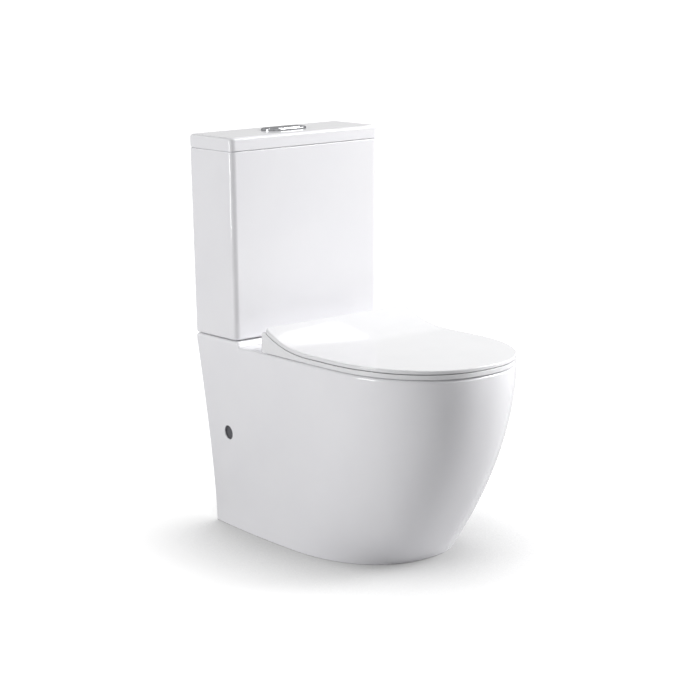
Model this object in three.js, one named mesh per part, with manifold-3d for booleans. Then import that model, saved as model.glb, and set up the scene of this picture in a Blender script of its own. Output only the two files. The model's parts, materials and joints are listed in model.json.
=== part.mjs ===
// A close coupled, back to wall toilet: china pan, cistern and lid, a slim seat and cover on
// soft close hinges, and the flush and fill valves inside the cistern.
//
// Millimetres, +Z up. X runs across, the wall is at +Y and the sitter faces -Y. The origin lies on
// the floor, under the middle of the toilet's length. Places along the length are given as a
// distance from the wall, and fromWall() turns one into a Y value.

import * as THREE from "three";
import { mergeVertices } from "three/addons/utils/BufferGeometryUtils.js";
import Module from "manifold-3d";

const wasm = await Module();
wasm.setup();

// ---------------------------------------------------------------------------------------------
// Sizes
// ---------------------------------------------------------------------------------------------

const GAP = 0.3; // between pieces that touch
const PIN_CLEARANCE = 0.3; // radial, round shafts and studs
const SEGMENTS = 16; // facets on a small round

const LENGTH = 680; // wall to the front of the seat
const RIM_HEIGHT = 402; // floor to the deck and rim
const CHINA_WALL = 11;

const pan = {
  front: LENGTH - 0.5, // the rim's front, from the wall
  footFront: 504, // the foot's front, from the wall
  halfWidth: 188.5,
  footHalfWidth: 164.5,
  rearHalfWidth: 188,
  footRearHalfWidth: 149,
  waist: 434, // where the rim is widest, from the wall
  footWaist: 270,
  frontPower: 2.22, // superellipse power of the rim's round front
  footPower: 2.35,
  frontBulge: 1.75, // how early the front swells out above the foot
  rearSlope: 1.4,
  edgeRadius: 7,
  deckThickness: 14,
};

const platform = {
  rise: 10, // the cistern's shelf, above the deck
  halfWidth: 187,
  edgeRadius: 3,
  thickness: 14,
};

const bowl = {
  halfWidth: 138,
  halfLength: 150,
  middle: 490,
  wall: 10,
  lip: 8, // rounding of the rim's inner edge
  sumpHalfWidth: 33,
  sumpHalfLength: 37,
  sumpMiddle: 440,
  sumpFloor: 20,
  power: 2.2,
};

const trap = {
  bore: 36,
  wall: 10,
  lowHeight: 56, // centre of the passage at the sump
  outletHeight: 180, // centre of the outlet
  bendRadius: 62,
  riseFrom: 345, // where the passage turns up, from the wall
  outletEnd: 55, // the spigot's end, from the wall
};

const flushDuct = { halfWidth: 45, height: 48, wall: 8, reach: 346 };

const sideHole = { radius: 15, height: 210, fromWall: 80 };

const sidePlug = {
  recess: 3, // below the skirt's face
  length: 22,
  wall: 2,
  end: 2, // the closed end, inside the skirt
  bead: 0.6, // snap bead behind the china, above the plug's radius
  beadWidth: 2,
};

const tank = {
  seat: 2, // gap over the platform
  height: 384,
  bottomHalfWidth: 188,
  topHalfWidth: 190.5,
  bottomDepth: 136.5,
  topDepth: 142,
  wall: 10,
  floor: 12,
  cornerRadius: 12,
  edgeRadius: 4,
};

const cover = {
  // the cistern's lid
  halfWidth: 192,
  depth: 144,
  height: 28,
  plate: 11,
  wall: 12,
  cornerRadius: 12,
  edgeRadius: 5,
  lipDepth: 8,
  lipWall: 5,
  lipClearance: 2,
};

const button = {
  length: 104,
  width: 52,
  proud: 4,
  rim: 8, // bezel width round the keys
  sleeveWall: 3,
  sleeveDepth: 26,
  floor: 3,
  cap: 8,
  keyProud: 1,
  clearance: 0.5,
  splitX: -14, // the half flush key is left of this
  clampRim: 9,
  clampThickness: 4,
};

const rod = { radius: 3, halfX: -28, fullX: 14 };
const keySpring = { radius: 6, wire: 1.3, turns: 4 };

const flushValve = {
  fromWall: 67,
  hole: 31,
  shankRadius: 29,
  shankBore: 25,
  shankLength: 50, // below the cistern's floor inside
  flangeRadius: 42,
  flange: 6,
  lipWall: 4,
  seatRise: 6,
  foot: 4,
  legs: 4,
  windowHeight: 64,
  cageRadius: 38,
  cageWall: 3,
  cageHeight: 140,
  capRadius: 45,
  cap: 6,
  capHeight: 280, // cap above the cistern's floor inside
  plungerRadius: 8,
  plungerHeight: 16,
  plungerProud: 6,
  tubeRadius: 16,
  tubeWall: 2.5,
  tubeHeight: 225,
  discRadius: 31,
  disc: 6,
  seal: 2.4,
};

const washerThickness = 4;
const backNut = { radius: 38, height: 12, sides: 12 };
const fillNut = { radius: 17, height: 10, sides: 6 };
const gasketRadius = 46;
const platformRecess = 48;

const fillValve = {
  x: 138,
  riserRadius: 11,
  flangeRadius: 19,
  flange: 5,
  shankRadius: 10,
  shankBore: 6,
  shankLength: 56,
  height: 262, // riser above the cistern's floor inside
  headRadius: 20,
  head: 26,
  lugWidth: 4,
  lugGap: 11,
  pivotRise: 8,
  pinRadius: 2,
};

const float = { radius: 27, height: 50, below: 96, rodRadius: 1.5, rodReach: 34, collar: 4 };
const arm = { thickness: 4, width: 10, hubRadius: 4, tail: 8, slotHalf: 3, collarGap: 1.3 };

const coupling = {
  x: 78,
  boltRadius: 4,
  headRadius: 9,
  head: 6,
  length: 68, // under the head
  coneRadius: 13,
  cone: 6,
  hole: 6,
  panHole: 7,
  plateRadius: 14,
  plate: 3,
};
const wingNut = { radius: 8, height: 12, span: 17, wing: 3 };

const seat = {
  halfWidth: 187.5,
  rearHalfWidth: 185.5,
  cornerRadius: 7,
  bumperGap: 1.5, // ring above the rim
  ring: 9.5,
  joint: 1.2, // cover above the ring
  coverThickness: 7.3,
  openingHalfWidth: 115,
  openingHalfLength: 140,
  openingMiddle: 485,
  wingStart: 380, // where the back begins to sweep up, from the wall
  wingRise: 33,
  wingPower: 2.5,
};

const hinge = {
  x: 77.5,
  fromWall: 232,
  height: 28, // axis above the deck
  knuckle: 16.5, // radius of the ring's rounded back
  blockHalfWidth: 11,
  blockRadius: 12,
  neckRadius: 10,
  rosetteRadius: 11.5,
  rosette: 3.5,
  barrelRadius: 6,
  pinRadius: 4,
  outerPin: 15,
  innerPin: 11,
  side: 1.5, // clearance each side of the block
  studRadius: 4,
  studLength: 56,
  studGrip: 8,
  deckHole: 7.5,
  bushRadius: 12,
  bush: 3,
};

const bumper = { radius: 8, sunk: 3, coverRadius: 6, coverSunk: 2 };

// Places worked out from the sizes.

const fromWall = (distance) => LENGTH / 2 - distance;
const platformTop = RIM_HEIGHT + platform.rise;
const tankBottom = platformTop + tank.seat;
const tankFloor = tankBottom + tank.floor;
const tankTop = tankBottom + tank.height;
const coverBottom = tankTop + GAP;
const coverTop = coverBottom + cover.height;
const ringBottom = RIM_HEIGHT + seat.bumperGap;
const ringTop = ringBottom + seat.ring;
const seatTop = ringTop + seat.joint + seat.coverThickness;
const hingeZ = RIM_HEIGHT + hinge.height;
const hingeY = fromWall(hinge.fromWall);
const valveY = fromWall(flushValve.fromWall);

// ---------------------------------------------------------------------------------------------
// Materials
// ---------------------------------------------------------------------------------------------

const finish = (color, roughness, metalness = 0) =>
  new THREE.MeshStandardMaterial({ color, roughness, metalness });

const china = finish(0xf4f4f5, 0.08);
const seatPlastic = finish(0xf6f6f7, 0.15);
const chrome = finish(0xc8cacd, 0.08, 1);
const steel = finish(0xa9acb0, 0.3, 1);
const brass = finish(0xb89a57, 0.3, 1);
const rubber = finish(0x2b2b2d, 0.8);
const silicone = finish(0xb8433a, 0.55);
const foam = finish(0x4a4b4e, 0.95);
const valvePlastic = finish(0xe9ebee, 0.4);
const bluePlastic = finish(0x2f6fb0, 0.4);
const greyPlastic = finish(0x4a4a50, 0.5);
const bumperRubber = finish(0xdcdcdc, 0.6);

// ---------------------------------------------------------------------------------------------
// Solids
// ---------------------------------------------------------------------------------------------

/** A closed three.js geometry as a manifold solid, turned face out if it came inside out. */
function solid(geometry) {
  const plain = new THREE.BufferGeometry();
  const source = geometry.index ? geometry.toNonIndexed() : geometry;
  plain.setAttribute("position", source.getAttribute("position"));
  const merged = mergeVertices(plain, 1e-4);
  const build = (triVerts) =>
    new wasm.Manifold(
      new wasm.Mesh({ numProp: 3, vertProperties: merged.attributes.position.array, triVerts }),
    );
  const triangles = new Uint32Array(merged.index.array);
  const made = build(triangles);
  return made.volume() < 0 ? build(triangles.reverse()) : made;
}

/** A manifold solid as a three.js geometry. */
function geometryOf(body) {
  const mesh = body.getMesh();
  const corners = new Float32Array(mesh.numVert * 3);
  for (let i = 0; i < mesh.numVert; i++) {
    const at = i * mesh.numProp;
    corners.set(mesh.vertProperties.subarray(at, at + 3), i * 3);
  }
  const geometry = new THREE.BufferGeometry();
  geometry.setAttribute("position", new THREE.BufferAttribute(corners, 3));
  geometry.setIndex(new THREE.BufferAttribute(new Uint32Array(mesh.triVerts), 1));
  geometry.computeVertexNormals();
  return geometry;
}

/** An upright cylinder from z0 to z1. */
function post(radius, z0, z1, x = 0, y = 0, segments = SEGMENTS) {
  const made = new THREE.CylinderGeometry(radius, radius, z1 - z0, segments);
  return solid(made.rotateX(Math.PI / 2).translate(x, y, (z0 + z1) / 2));
}

/** A cylinder along X from x0 to x1. */
function barrel(radius, x0, x1, y, z, segments = SEGMENTS) {
  const made = new THREE.CylinderGeometry(radius, radius, x1 - x0, segments);
  return solid(made.rotateZ(Math.PI / 2).translate((x0 + x1) / 2, y, z));
}

/** A cylinder along Y from y0 to y1. */
function pinAlongY(radius, y0, y1, x, z, segments = SEGMENTS) {
  const made = new THREE.CylinderGeometry(radius, radius, y1 - y0, segments);
  return solid(made.translate(x, (y0 + y1) / 2, z));
}

/** A solid turned round an upright axis: its half section is a list of [radius, z]. */
function turned(section, x = 0, y = 0, segments = SEGMENTS) {
  const points = [...section, section[0]].map(([r, z]) => new THREE.Vector2(r, z));
  return solid(new THREE.LatheGeometry(points, segments).rotateX(Math.PI / 2).translate(x, y, 0));
}

/** An upright tube. */
function tube(outer, inner, z0, z1, x = 0, y = 0, segments = SEGMENTS) {
  return turned([[inner, z0], [outer, z0], [outer, z1], [inner, z1]], x, y, segments);
}

/** A nut with flat sides and a round bore. */
function nut(outer, bore, z0, z1, x, y, sides) {
  return post(outer, z0, z1, x, y, sides).subtract(post(bore, z0 - 1, z1 + 1, x, y, 20));
}

/** A rubber washer on the cistern's floor, round a valve at x. */
function floorWasher(outer, hole, x) {
  return tube(outer, hole + GAP, tankFloor + GAP / 2, tankFloor + washerThickness, x, valveY, 20);
}

/** The nut that pulls a valve down on the cistern's floor from below. */
function underNut({ radius, height, sides }, shankRadius, x) {
  const top = tankBottom - GAP;
  return nut(radius, shankRadius + PIN_CLEARANCE, top - height, top, x, valveY, sides);
}

/** A box between two corners. */
function box(low, high) {
  const [x, y, z] = low.map((v, i) => high[i] - v);
  const middle = low.map((v, i) => (v + high[i]) / 2);
  return solid(new THREE.BoxGeometry(x, y, z).translate(...middle));
}

/** A flat outline raised from z0 to z1. */
function prism(shape, z0, z1, curveSegments = 8) {
  const settings = { depth: z1 - z0, bevelEnabled: false, curveSegments };
  return solid(new THREE.ExtrudeGeometry(shape, settings).translate(0, 0, z0));
}

/** A side profile of [distance from the wall, z] points, as wide as the given half width. */
function sideProfile(profile, halfWidth) {
  const shape = new THREE.Shape(profile.map(([d, z]) => new THREE.Vector2(fromWall(d), z)));
  const made = new THREE.ExtrudeGeometry(shape, { depth: 2 * halfWidth, bevelEnabled: false });
  const alongX = new THREE.Matrix4().makeBasis(
    new THREE.Vector3(0, 1, 0),
    new THREE.Vector3(0, 0, 1),
    new THREE.Vector3(1, 0, 0),
  );
  return solid(made.applyMatrix4(alongX).translate(-halfWidth, 0, 0));
}

/** A skin through a stack of outlines, each { z, points }, with the same number of points. */
function loft(rings) {
  const count = rings[0].points.length;
  const corners = rings.flatMap(({ z, points }) => points.flatMap(([x, y]) => [x, y, z]));
  const faces = [];
  for (let level = 0; level + 1 < rings.length; level++) {
    for (let i = 0; i < count; i++) {
      const a = level * count + i;
      const b = level * count + ((i + 1) % count);
      faces.push(a, b, b + count, a, b + count, a + count);
    }
  }
  const last = (rings.length - 1) * count;
  for (let i = 1; i + 1 < count; i++) faces.push(0, i + 1, i, last, last + i, last + i + 1);
  const geometry = new THREE.BufferGeometry();
  geometry.setAttribute("position", new THREE.Float32BufferAttribute(corners, 3));
  geometry.setIndex(faces);
  return solid(geometry);
}

const union = (...bodies) => bodies.reduce((all, body) => all.add(body));
const steps = (count) => Array.from({ length: count + 1 }, (_, i) => i / count);

// ---------------------------------------------------------------------------------------------
// Outlines
// ---------------------------------------------------------------------------------------------

/** Half a long D, [x, distance from the wall], from the back to the middle of its round front. */
function halfD({ back, rearHalf, half, waist, front, power }, sideSteps, frontSteps) {
  const side = steps(sideSteps).map((u) => [
    half - (half - rearHalf) * (1 - u) ** 2,
    back + u * (waist - back),
  ]);
  const round = steps(frontSteps)
    .slice(1)
    .map((u) => {
      const turn = (u * Math.PI) / 2;
      const x = u === 1 ? 0 : half * Math.cos(turn) ** (2 / power);
      return [x, waist + (front - waist) * Math.sin(turn) ** (2 / power)];
    });
  return [...side, ...round];
}

/** A closed outline, seen from above, from one of its halves. */
function mirrored(half) {
  const left = half.map(([x, d]) => [-x, fromWall(d)]);
  const right = half.slice(0, -1).reverse().map(([x, d]) => [x, fromWall(d)]);
  return [...left, ...right];
}

/** The sizes of the pan's outline at a share of its height, taken in by an inset. */
function panSizes(share, inset = 0, back = 0) {
  const forward = 1 - (1 - share) ** pan.frontBulge;
  const rear = THREE.MathUtils.lerp(pan.footRearHalfWidth, pan.rearHalfWidth, share ** pan.rearSlope);
  const half = THREE.MathUtils.lerp(pan.footHalfWidth, pan.halfWidth, forward);
  return {
    back,
    rearHalf: Math.min(rear, half) - inset,
    half: half - inset,
    waist: THREE.MathUtils.lerp(pan.footWaist, pan.waist, forward),
    front: THREE.MathUtils.lerp(pan.footFront, pan.front, forward) - inset,
    power: THREE.MathUtils.lerp(pan.footPower, pan.frontPower, share),
  };
}

function panOutline(share, inset = 0, back = 0, sideSteps = 4, frontSteps = 11) {
  return mirrored(halfD(panSizes(share, inset, back), sideSteps, frontSteps));
}

/** Half the skirt's width at a height, on its straight sides. */
function skirtHalfWidth(height, distance) {
  const { rearHalf, half, waist } = panSizes(height / RIM_HEIGHT);
  return half - (half - rearHalf) * (1 - distance / waist) ** 2;
}

/** An egg or ellipse outline, a share of the way round per point. */
function oval(halfWidth, halfLength, middle, power, count) {
  return steps(count).slice(1).map((u) => {
    const turn = u * 2 * Math.PI;
    const c = Math.cos(turn);
    const s = Math.sin(turn);
    return [
      halfWidth * Math.sign(c) * Math.abs(c) ** (2 / power),
      fromWall(middle) + halfLength * Math.sign(s) * Math.abs(s) ** (2 / power),
    ];
  });
}

/** A rectangle against the wall with round corners. */
function wallBox(halfWidth, depth, radius, inset = 0, back = 0, cornerSteps = 4) {
  const w = halfWidth - inset;
  const low = fromWall(depth - inset);
  const high = fromWall(back);
  const r = Math.max(radius - inset, 0.5);
  const corners = [
    [-w + r, low + r, Math.PI],
    [w - r, low + r, 1.5 * Math.PI],
    [w - r, high - r, 0],
    [-w + r, high - r, 0.5 * Math.PI],
  ];
  return corners.flatMap(([x, y, from]) =>
    steps(cornerSteps).map((u) => {
      const turn = from + (u * Math.PI) / 2;
      return [x + r * Math.cos(turn), y + r * Math.sin(turn)];
    }),
  );
}

/** A slot shape with round ends, centred on x and y. */
function slotShape(length, width, x = 0, y = 0) {
  const r = width / 2;
  const reach = length / 2 - r;
  const shape = new THREE.Shape();
  shape.absarc(x + reach, y, r, -Math.PI / 2, Math.PI / 2, false);
  shape.absarc(x - reach, y, r, Math.PI / 2, 1.5 * Math.PI, false);
  shape.closePath();
  return shape;
}

// ---------------------------------------------------------------------------------------------
// The model's tree
// ---------------------------------------------------------------------------------------------

const toilet = new THREE.Group();

function place(name, body, material) {
  const mesh = new THREE.Mesh(geometryOf(body), material);
  mesh.name = name;
  toilet.add(mesh);
}

// ---------------------------------------------------------------------------------------------
// Pan
// ---------------------------------------------------------------------------------------------

/** The pan's outer skin, rounded over at the rim. */
function panBlock() {
  const r = pan.edgeRadius;
  const straight = (RIM_HEIGHT - r) / RIM_HEIGHT;
  const rings = steps(8).map((u) => ({
    z: u * straight * RIM_HEIGHT,
    points: panOutline(u * straight),
  }));
  for (const u of [1 / 3, 2 / 3, 1]) {
    const turn = (u * Math.PI) / 2;
    const z = RIM_HEIGHT - r + r * Math.sin(turn);
    rings.push({ z, points: panOutline(z / RIM_HEIGHT, r * (1 - Math.cos(turn))) });
  }
  return loft(rings);
}

/** The shelf that carries the cistern, a step above the deck. */
function cisternShelf() {
  const r = platform.edgeRadius;
  const ring = (z, inset) => ({
    z,
    points: wallBox(platform.halfWidth, tank.bottomDepth + 1, tank.cornerRadius, inset),
  });
  return loft([
    ring(RIM_HEIGHT - pan.edgeRadius - 2, 0),
    ring(platformTop - r, 0),
    ring(platformTop - 0.3 * r, 0.3 * r),
    ring(platformTop, r),
  ]);
}

/** The empty space inside the skirt, open to the floor and to the wall. */
function skirtHollow() {
  const below = 10;
  const top = RIM_HEIGHT - pan.deckThickness;
  const rings = [{ z: -below, points: panOutline(0, CHINA_WALL, -below, 3, 8) }];
  for (const u of steps(5)) {
    const share = (u * top) / RIM_HEIGHT;
    rings.push({ z: u * top, points: panOutline(share, CHINA_WALL, -below, 3, 8) });
  }
  const shelfRoom = box(
    [-platform.halfWidth + CHINA_WALL, fromWall(tank.bottomDepth - CHINA_WALL), top - 2],
    [platform.halfWidth - CHINA_WALL, fromWall(-below), platformTop - platform.thickness],
  );
  return union(loft(rings), shelfRoom);
}

/** The bowl's skin, grown by a wall. Heights are shares of the way up from the sump. */
function bowlSkin(grow, count) {
  const levels = [
    [0, 0],
    [0.05, 0.08],
    [0.2, 0.16],
    [0.36, 0.36],
    [0.55, 0.64],
    [0.73, 0.86],
    [0.88, 0.97],
    [1, 1],
  ];
  const low = bowl.sumpFloor;
  const high = RIM_HEIGHT - bowl.lip;
  const outline = ([up, open], more = 0) =>
    oval(
      THREE.MathUtils.lerp(bowl.sumpHalfWidth, bowl.halfWidth, open) + grow + more,
      THREE.MathUtils.lerp(bowl.sumpHalfLength, bowl.halfLength, open) + grow + more,
      THREE.MathUtils.lerp(bowl.sumpMiddle, bowl.middle, open),
      bowl.power,
      count,
    );
  const rings = levels.map((level) => ({
    z: THREE.MathUtils.lerp(low, high, level[0]),
    points: outline(level),
  }));
  rings[0].z -= grow;
  return { rings, outline };
}

function bowlOutside() {
  const { rings } = bowlSkin(bowl.wall, 24);
  rings[rings.length - 1].z = RIM_HEIGHT - 2;
  return loft(rings);
}

/** The bowl's inside, flared over the rounded lip of the rim. */
function bowlInside() {
  const { rings, outline } = bowlSkin(0, 32);
  for (const u of [1 / 3, 2 / 3, 1]) {
    const turn = (u * Math.PI) / 2;
    rings.push({
      z: RIM_HEIGHT - bowl.lip + bowl.lip * Math.sin(turn),
      points: outline([1, 1], bowl.lip * (1 - Math.cos(turn))),
    });
  }
  rings.push({ z: RIM_HEIGHT + 1, points: outline([1, 1], bowl.lip) });
  return loft(rings);
}

/** The trapway's centre line: level out of the sump, up over the weir, and level to the outlet. */
class TrapLine extends THREE.CurvePath {
  constructor(from, to) {
    super();
    const at = (d, z) => new THREE.Vector3(0, fromWall(d), z);
    const { bendRadius: r, lowHeight: low, outletHeight: high, riseFrom } = trap;
    const bend = r * Math.tan(Math.PI / 8);
    const run = high - low;
    this.add(new THREE.LineCurve3(at(from, low), at(riseFrom + bend, low)));
    this.add(new THREE.QuadraticBezierCurve3(
      at(riseFrom + bend, low),
      at(riseFrom, low),
      at(riseFrom - bend / Math.SQRT2, low + bend / Math.SQRT2),
    ));
    this.add(new THREE.LineCurve3(
      at(riseFrom - bend / Math.SQRT2, low + bend / Math.SQRT2),
      at(riseFrom - run + bend / Math.SQRT2, high - bend / Math.SQRT2),
    ));
    this.add(new THREE.QuadraticBezierCurve3(
      at(riseFrom - run + bend / Math.SQRT2, high - bend / Math.SQRT2),
      at(riseFrom - run, high),
      at(riseFrom - run - bend, high),
    ));
    this.add(new THREE.LineCurve3(at(riseFrom - run - bend, high), at(to, high)));
  }
}

function trapTube(radius, from, to) {
  const section = new THREE.Shape();
  section.absarc(0, 0, radius, 0, 2 * Math.PI, false);
  const path = new TrapLine(from, to);
  const settings = { extrudePath: path, steps: 18, curveSegments: 8, bevelEnabled: false };
  return solid(new THREE.ExtrudeGeometry(section, settings));
}

/** The channel from the cistern's outlet to the back of the bowl, under the deck. */
function duct(grow, from, to) {
  const top = RIM_HEIGHT - pan.deckThickness;
  const half = flushDuct.halfWidth - flushDuct.wall + grow;
  const low = top - flushDuct.height + flushDuct.wall - grow;
  return box([-half, fromWall(to), low], [half, fromWall(from), top + (grow ? 4 : -2)]);
}

/** A cylinder along the side hole's axis, between two distances from the middle of the pan. */
function sideBarrel(side, radius, from, to) {
  const [low, high] = [side * from, side * to].sort((a, b) => a - b);
  return barrel(radius, low, high, fromWall(sideHole.fromWall), sideHole.height, 24);
}

function buildPan() {
  const top = RIM_HEIGHT - pan.deckThickness;
  const ductStart = flushValve.fromWall - backNut.radius - 6;
  const wall = flushDuct.wall;
  const block = union(panBlock(), cisternShelf());
  const shell = block.subtract(skirtHollow());
  const inner = union(
    bowlOutside(),
    trapTube(trap.bore + trap.wall, bowl.sumpMiddle, trap.outletEnd),
    duct(wall, ductStart - wall, flushDuct.reach - 4),
    post(platformRecess + wall, top - 8, platformTop - 2, 0, valveY, 32),
  ).intersect(block);
  const cuts = [
    bowlInside(),
    trapTube(trap.bore, bowl.sumpMiddle - 6, trap.outletEnd - 10),
    duct(0, ductStart, flushDuct.reach + 6),
    post(flushValve.hole + 2, top - 12, platformTop + 5, 0, valveY, 20),
    post(platformRecess, platformTop - platform.thickness, platformTop + 5, 0, valveY, 32),
    post(fillValve.flangeRadius + 3, top - 5, platformTop + 5, fillValve.x, valveY, 20),
  ];
  for (const side of [-1, 1]) {
    cuts.push(post(coupling.panHole, top - 5, platformTop + 5, side * coupling.x, valveY, 16));
    cuts.push(post(hinge.deckHole, top - 5, RIM_HEIGHT + 5, side * hinge.x, hingeY, 16));
    cuts.push(sideBarrel(side, sideHole.radius, 100, pan.halfWidth + 5));
  }
  return cuts.reduce((made, cut) => made.subtract(cut), union(shell, inner));
}

place("pan", buildPan(), china);

/** The cap that closes a side hole: a cup pushed in from outside, held by a bead behind the china. */
function buildSidePlug(side) {
  const face = skirtHalfWidth(sideHole.height, sideHole.fromWall);
  const outer = face - sidePlug.recess;
  const inner = outer - sidePlug.length;
  const radius = sideHole.radius - GAP;
  const bead = inner + sidePlug.end;
  return sideBarrel(side, radius, inner, outer)
    .add(sideBarrel(side, radius + sidePlug.bead, bead, bead + sidePlug.beadWidth))
    .subtract(sideBarrel(side, radius - sidePlug.wall, inner + sidePlug.end, outer + 1));
}

for (const [name, side] of [["left", -1], ["right", 1]]) {
  place(`side_plug_${name}`, buildSidePlug(side), greyPlastic);
}

// ---------------------------------------------------------------------------------------------
// Cistern
// ---------------------------------------------------------------------------------------------

/** The cistern's outer or inner skin: a box against the wall that widens upwards. */
function tankSkin(inset, z0, z1, round) {
  const ring = (z, more) => {
    const share = (z - tankBottom) / tank.height;
    return {
      z,
      points: wallBox(
        THREE.MathUtils.lerp(tank.bottomHalfWidth, tank.topHalfWidth, share),
        THREE.MathUtils.lerp(tank.bottomDepth, tank.topDepth, share),
        tank.cornerRadius,
        inset + more,
        inset,
      ),
    };
  };
  if (!round) return loft([ring(z0, 0), ring(z1, 0)]);
  const r = tank.edgeRadius;
  return loft([ring(z0, r), ring(z0 + 0.3 * r, 0.3 * r), ring(z0 + r, 0), ring(z1, 0)]);
}

function buildTank() {
  const hollow = tankSkin(tank.wall, tankFloor, tankTop + 5, false);
  const cuts = [
    hollow,
    post(flushValve.hole, tankBottom - 5, tankFloor + 5, 0, valveY, 20),
    post(fillValve.shankRadius + 1, tankBottom - 5, tankFloor + 5, fillValve.x, valveY),
    post(coupling.hole, tankBottom - 5, tankFloor + 5, coupling.x, valveY),
    post(coupling.hole, tankBottom - 5, tankFloor + 5, -coupling.x, valveY),
  ];
  return cuts.reduce((made, cut) => made.subtract(cut), tankSkin(0, tankBottom, tankTop, true));
}

/** The lid: a shallow shell with a lip that drops inside the cistern. */
function buildCover() {
  const ring = (z, inset, back = 0) => ({
    z,
    points: wallBox(cover.halfWidth, cover.depth, cover.cornerRadius, inset, back),
  });
  const r = cover.edgeRadius;
  const outside = loft([
    ring(coverBottom, 0),
    ring(coverTop - r, 0),
    ring(coverTop - 0.3 * r, 0.3 * r),
    ring(coverTop, r),
  ]);
  const inside = loft([
    ring(coverBottom - 5, cover.wall, cover.wall),
    ring(coverTop - cover.plate, cover.wall, cover.wall),
  ]);
  const lipInset = tank.wall + cover.lipClearance;
  const lipSkin = (inset, z0, z1) => {
    const points = wallBox(tank.topHalfWidth, tank.topDepth, tank.cornerRadius, inset, inset);
    return loft([{ z: z0, points }, { z: z1, points }]);
  };
  const lip = lipSkin(lipInset, coverBottom - cover.lipDepth, coverTop - cover.plate + 1).subtract(
    lipSkin(lipInset + cover.lipWall, coverBottom - cover.lipDepth - 1, coverTop - cover.plate),
  );
  const hole = slotShape(button.length - 8, button.width - 8, 0, valveY);
  return outside
    .subtract(inside)
    .add(lip)
    .subtract(prism(hole, coverTop - cover.plate - 5, coverTop + 5));
}

place("cistern_tank", buildTank(), china);
place("cistern_lid", buildCover(), china);

// ---------------------------------------------------------------------------------------------
// Flush buttons, in the cistern's lid
// ---------------------------------------------------------------------------------------------

const keyLength = button.length - 2 * button.rim;
const keyWidth = button.width - 2 * button.rim;
const bezelTop = coverTop + button.proud;
const sleeveBottom = coverTop - button.sleeveDepth;
const keyTop = bezelTop + button.keyProud;
const keyBottom = keyTop - button.cap;
const coverUnder = coverTop - cover.plate;
const capTop = tankFloor + flushValve.capHeight;
const plungerTop = capTop + flushValve.plungerProud;

function buildBezel() {
  const sleeve = 2 * button.sleeveWall;
  const opening = slotShape(keyLength, keyWidth, 0, valveY);
  const rodHole = rod.radius + 1.5;
  return union(
    prism(slotShape(button.length, button.width, 0, valveY), coverTop + GAP, bezelTop),
    prism(slotShape(keyLength + sleeve, keyWidth + sleeve, 0, valveY), sleeveBottom, coverTop + 1),
  )
    .subtract(prism(opening, sleeveBottom + button.floor, bezelTop + 5))
    .subtract(post(rodHole, sleeveBottom - 5, bezelTop, rod.halfX, valveY))
    .subtract(post(rodHole, sleeveBottom - 5, bezelTop, rod.fullX, valveY));
}

/** A plate under the lid that two screws pull up to hold the bezel. */
function buildClamp() {
  const inner = 2 * (button.sleeveWall + GAP);
  const outer = inner + 2 * button.clampRim;
  const z1 = coverUnder - GAP;
  const z0 = z1 - button.clampThickness;
  return prism(slotShape(keyLength + outer, keyWidth + outer, 0, valveY), z0, z1)
    .subtract(prism(slotShape(keyLength + inner, keyWidth + inner, 0, valveY), z0 - 1, z1 + 1));
}

/** One key of the pair: the part of the slot on its own side of the split. */
function buildKey(side) {
  const clear = 2 * button.clearance;
  const whole = slotShape(keyLength - clear, keyWidth - clear, 0, valveY);
  const edge = button.splitX + (side * button.clearance) / 2;
  const far = side * button.length;
  const half = box(
    [Math.min(edge, far), valveY - button.width, keyBottom - 1],
    [Math.max(edge, far), valveY + button.width, keyTop + 1],
  );
  return prism(whole, keyBottom, keyTop, 10).intersect(half);
}

/** A compression spring: a helix with closed ends, as one swept coil. */
function buildKeySpring(x) {
  const { radius, wire, turns } = keySpring;
  const low = sleeveBottom + button.floor + GAP + wire;
  const high = keyBottom - GAP - wire;
  class Helix extends THREE.Curve {
    getPoint(t) {
      const turn = t * turns * 2 * Math.PI;
      const z = THREE.MathUtils.lerp(low, high, t);
      return new THREE.Vector3(x + radius * Math.cos(turn), valveY + radius * Math.sin(turn), z);
    }
  }
  const section = new THREE.Shape();
  section.absarc(0, 0, wire / 2, 0, 2 * Math.PI, false);
  const path = new Helix();
  const settings = { extrudePath: path, steps: turns * 8, curveSegments: 2, bevelEnabled: false };
  return solid(new THREE.ExtrudeGeometry(section, settings));
}

place("button_bezel", buildBezel(), chrome);
place("button_clamp", buildClamp(), valvePlastic);
place("half_flush_button", buildKey(-1), chrome);
place("full_flush_button", buildKey(1), chrome);
for (const [name, x] of [["half", rod.halfX], ["full", rod.fullX]]) {
  const stem = post(rod.radius, plungerTop + GAP, keyBottom - GAP, x, valveY, 12);
  place(`${name}_flush_rod`, stem, valvePlastic);
  place(`${name}_flush_spring`, buildKeySpring(x), steel);
}

// ---------------------------------------------------------------------------------------------
// Flush valve
// ---------------------------------------------------------------------------------------------

const flangeLow = tankFloor + washerThickness + GAP;
const flangeTop = flangeLow + flushValve.flange;
const valveSeatTop = flangeTop + flushValve.seatRise;

/** The base, clamped through the cistern's floor: threaded shank, flange and sealing seat. */
function buildFlushBase() {
  const v = flushValve;
  const lip = v.shankBore + v.lipWall;
  return turned(
    [
      [v.shankBore, tankFloor - v.shankLength],
      [v.shankRadius, tankFloor - v.shankLength],
      [v.shankRadius, flangeLow],
      [v.flangeRadius, flangeLow],
      [v.flangeRadius, flangeTop],
      [lip, flangeTop],
      [lip, valveSeatTop],
      [v.shankBore, valveSeatTop],
    ],
    0,
    valveY,
    20,
  );
}

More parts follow.
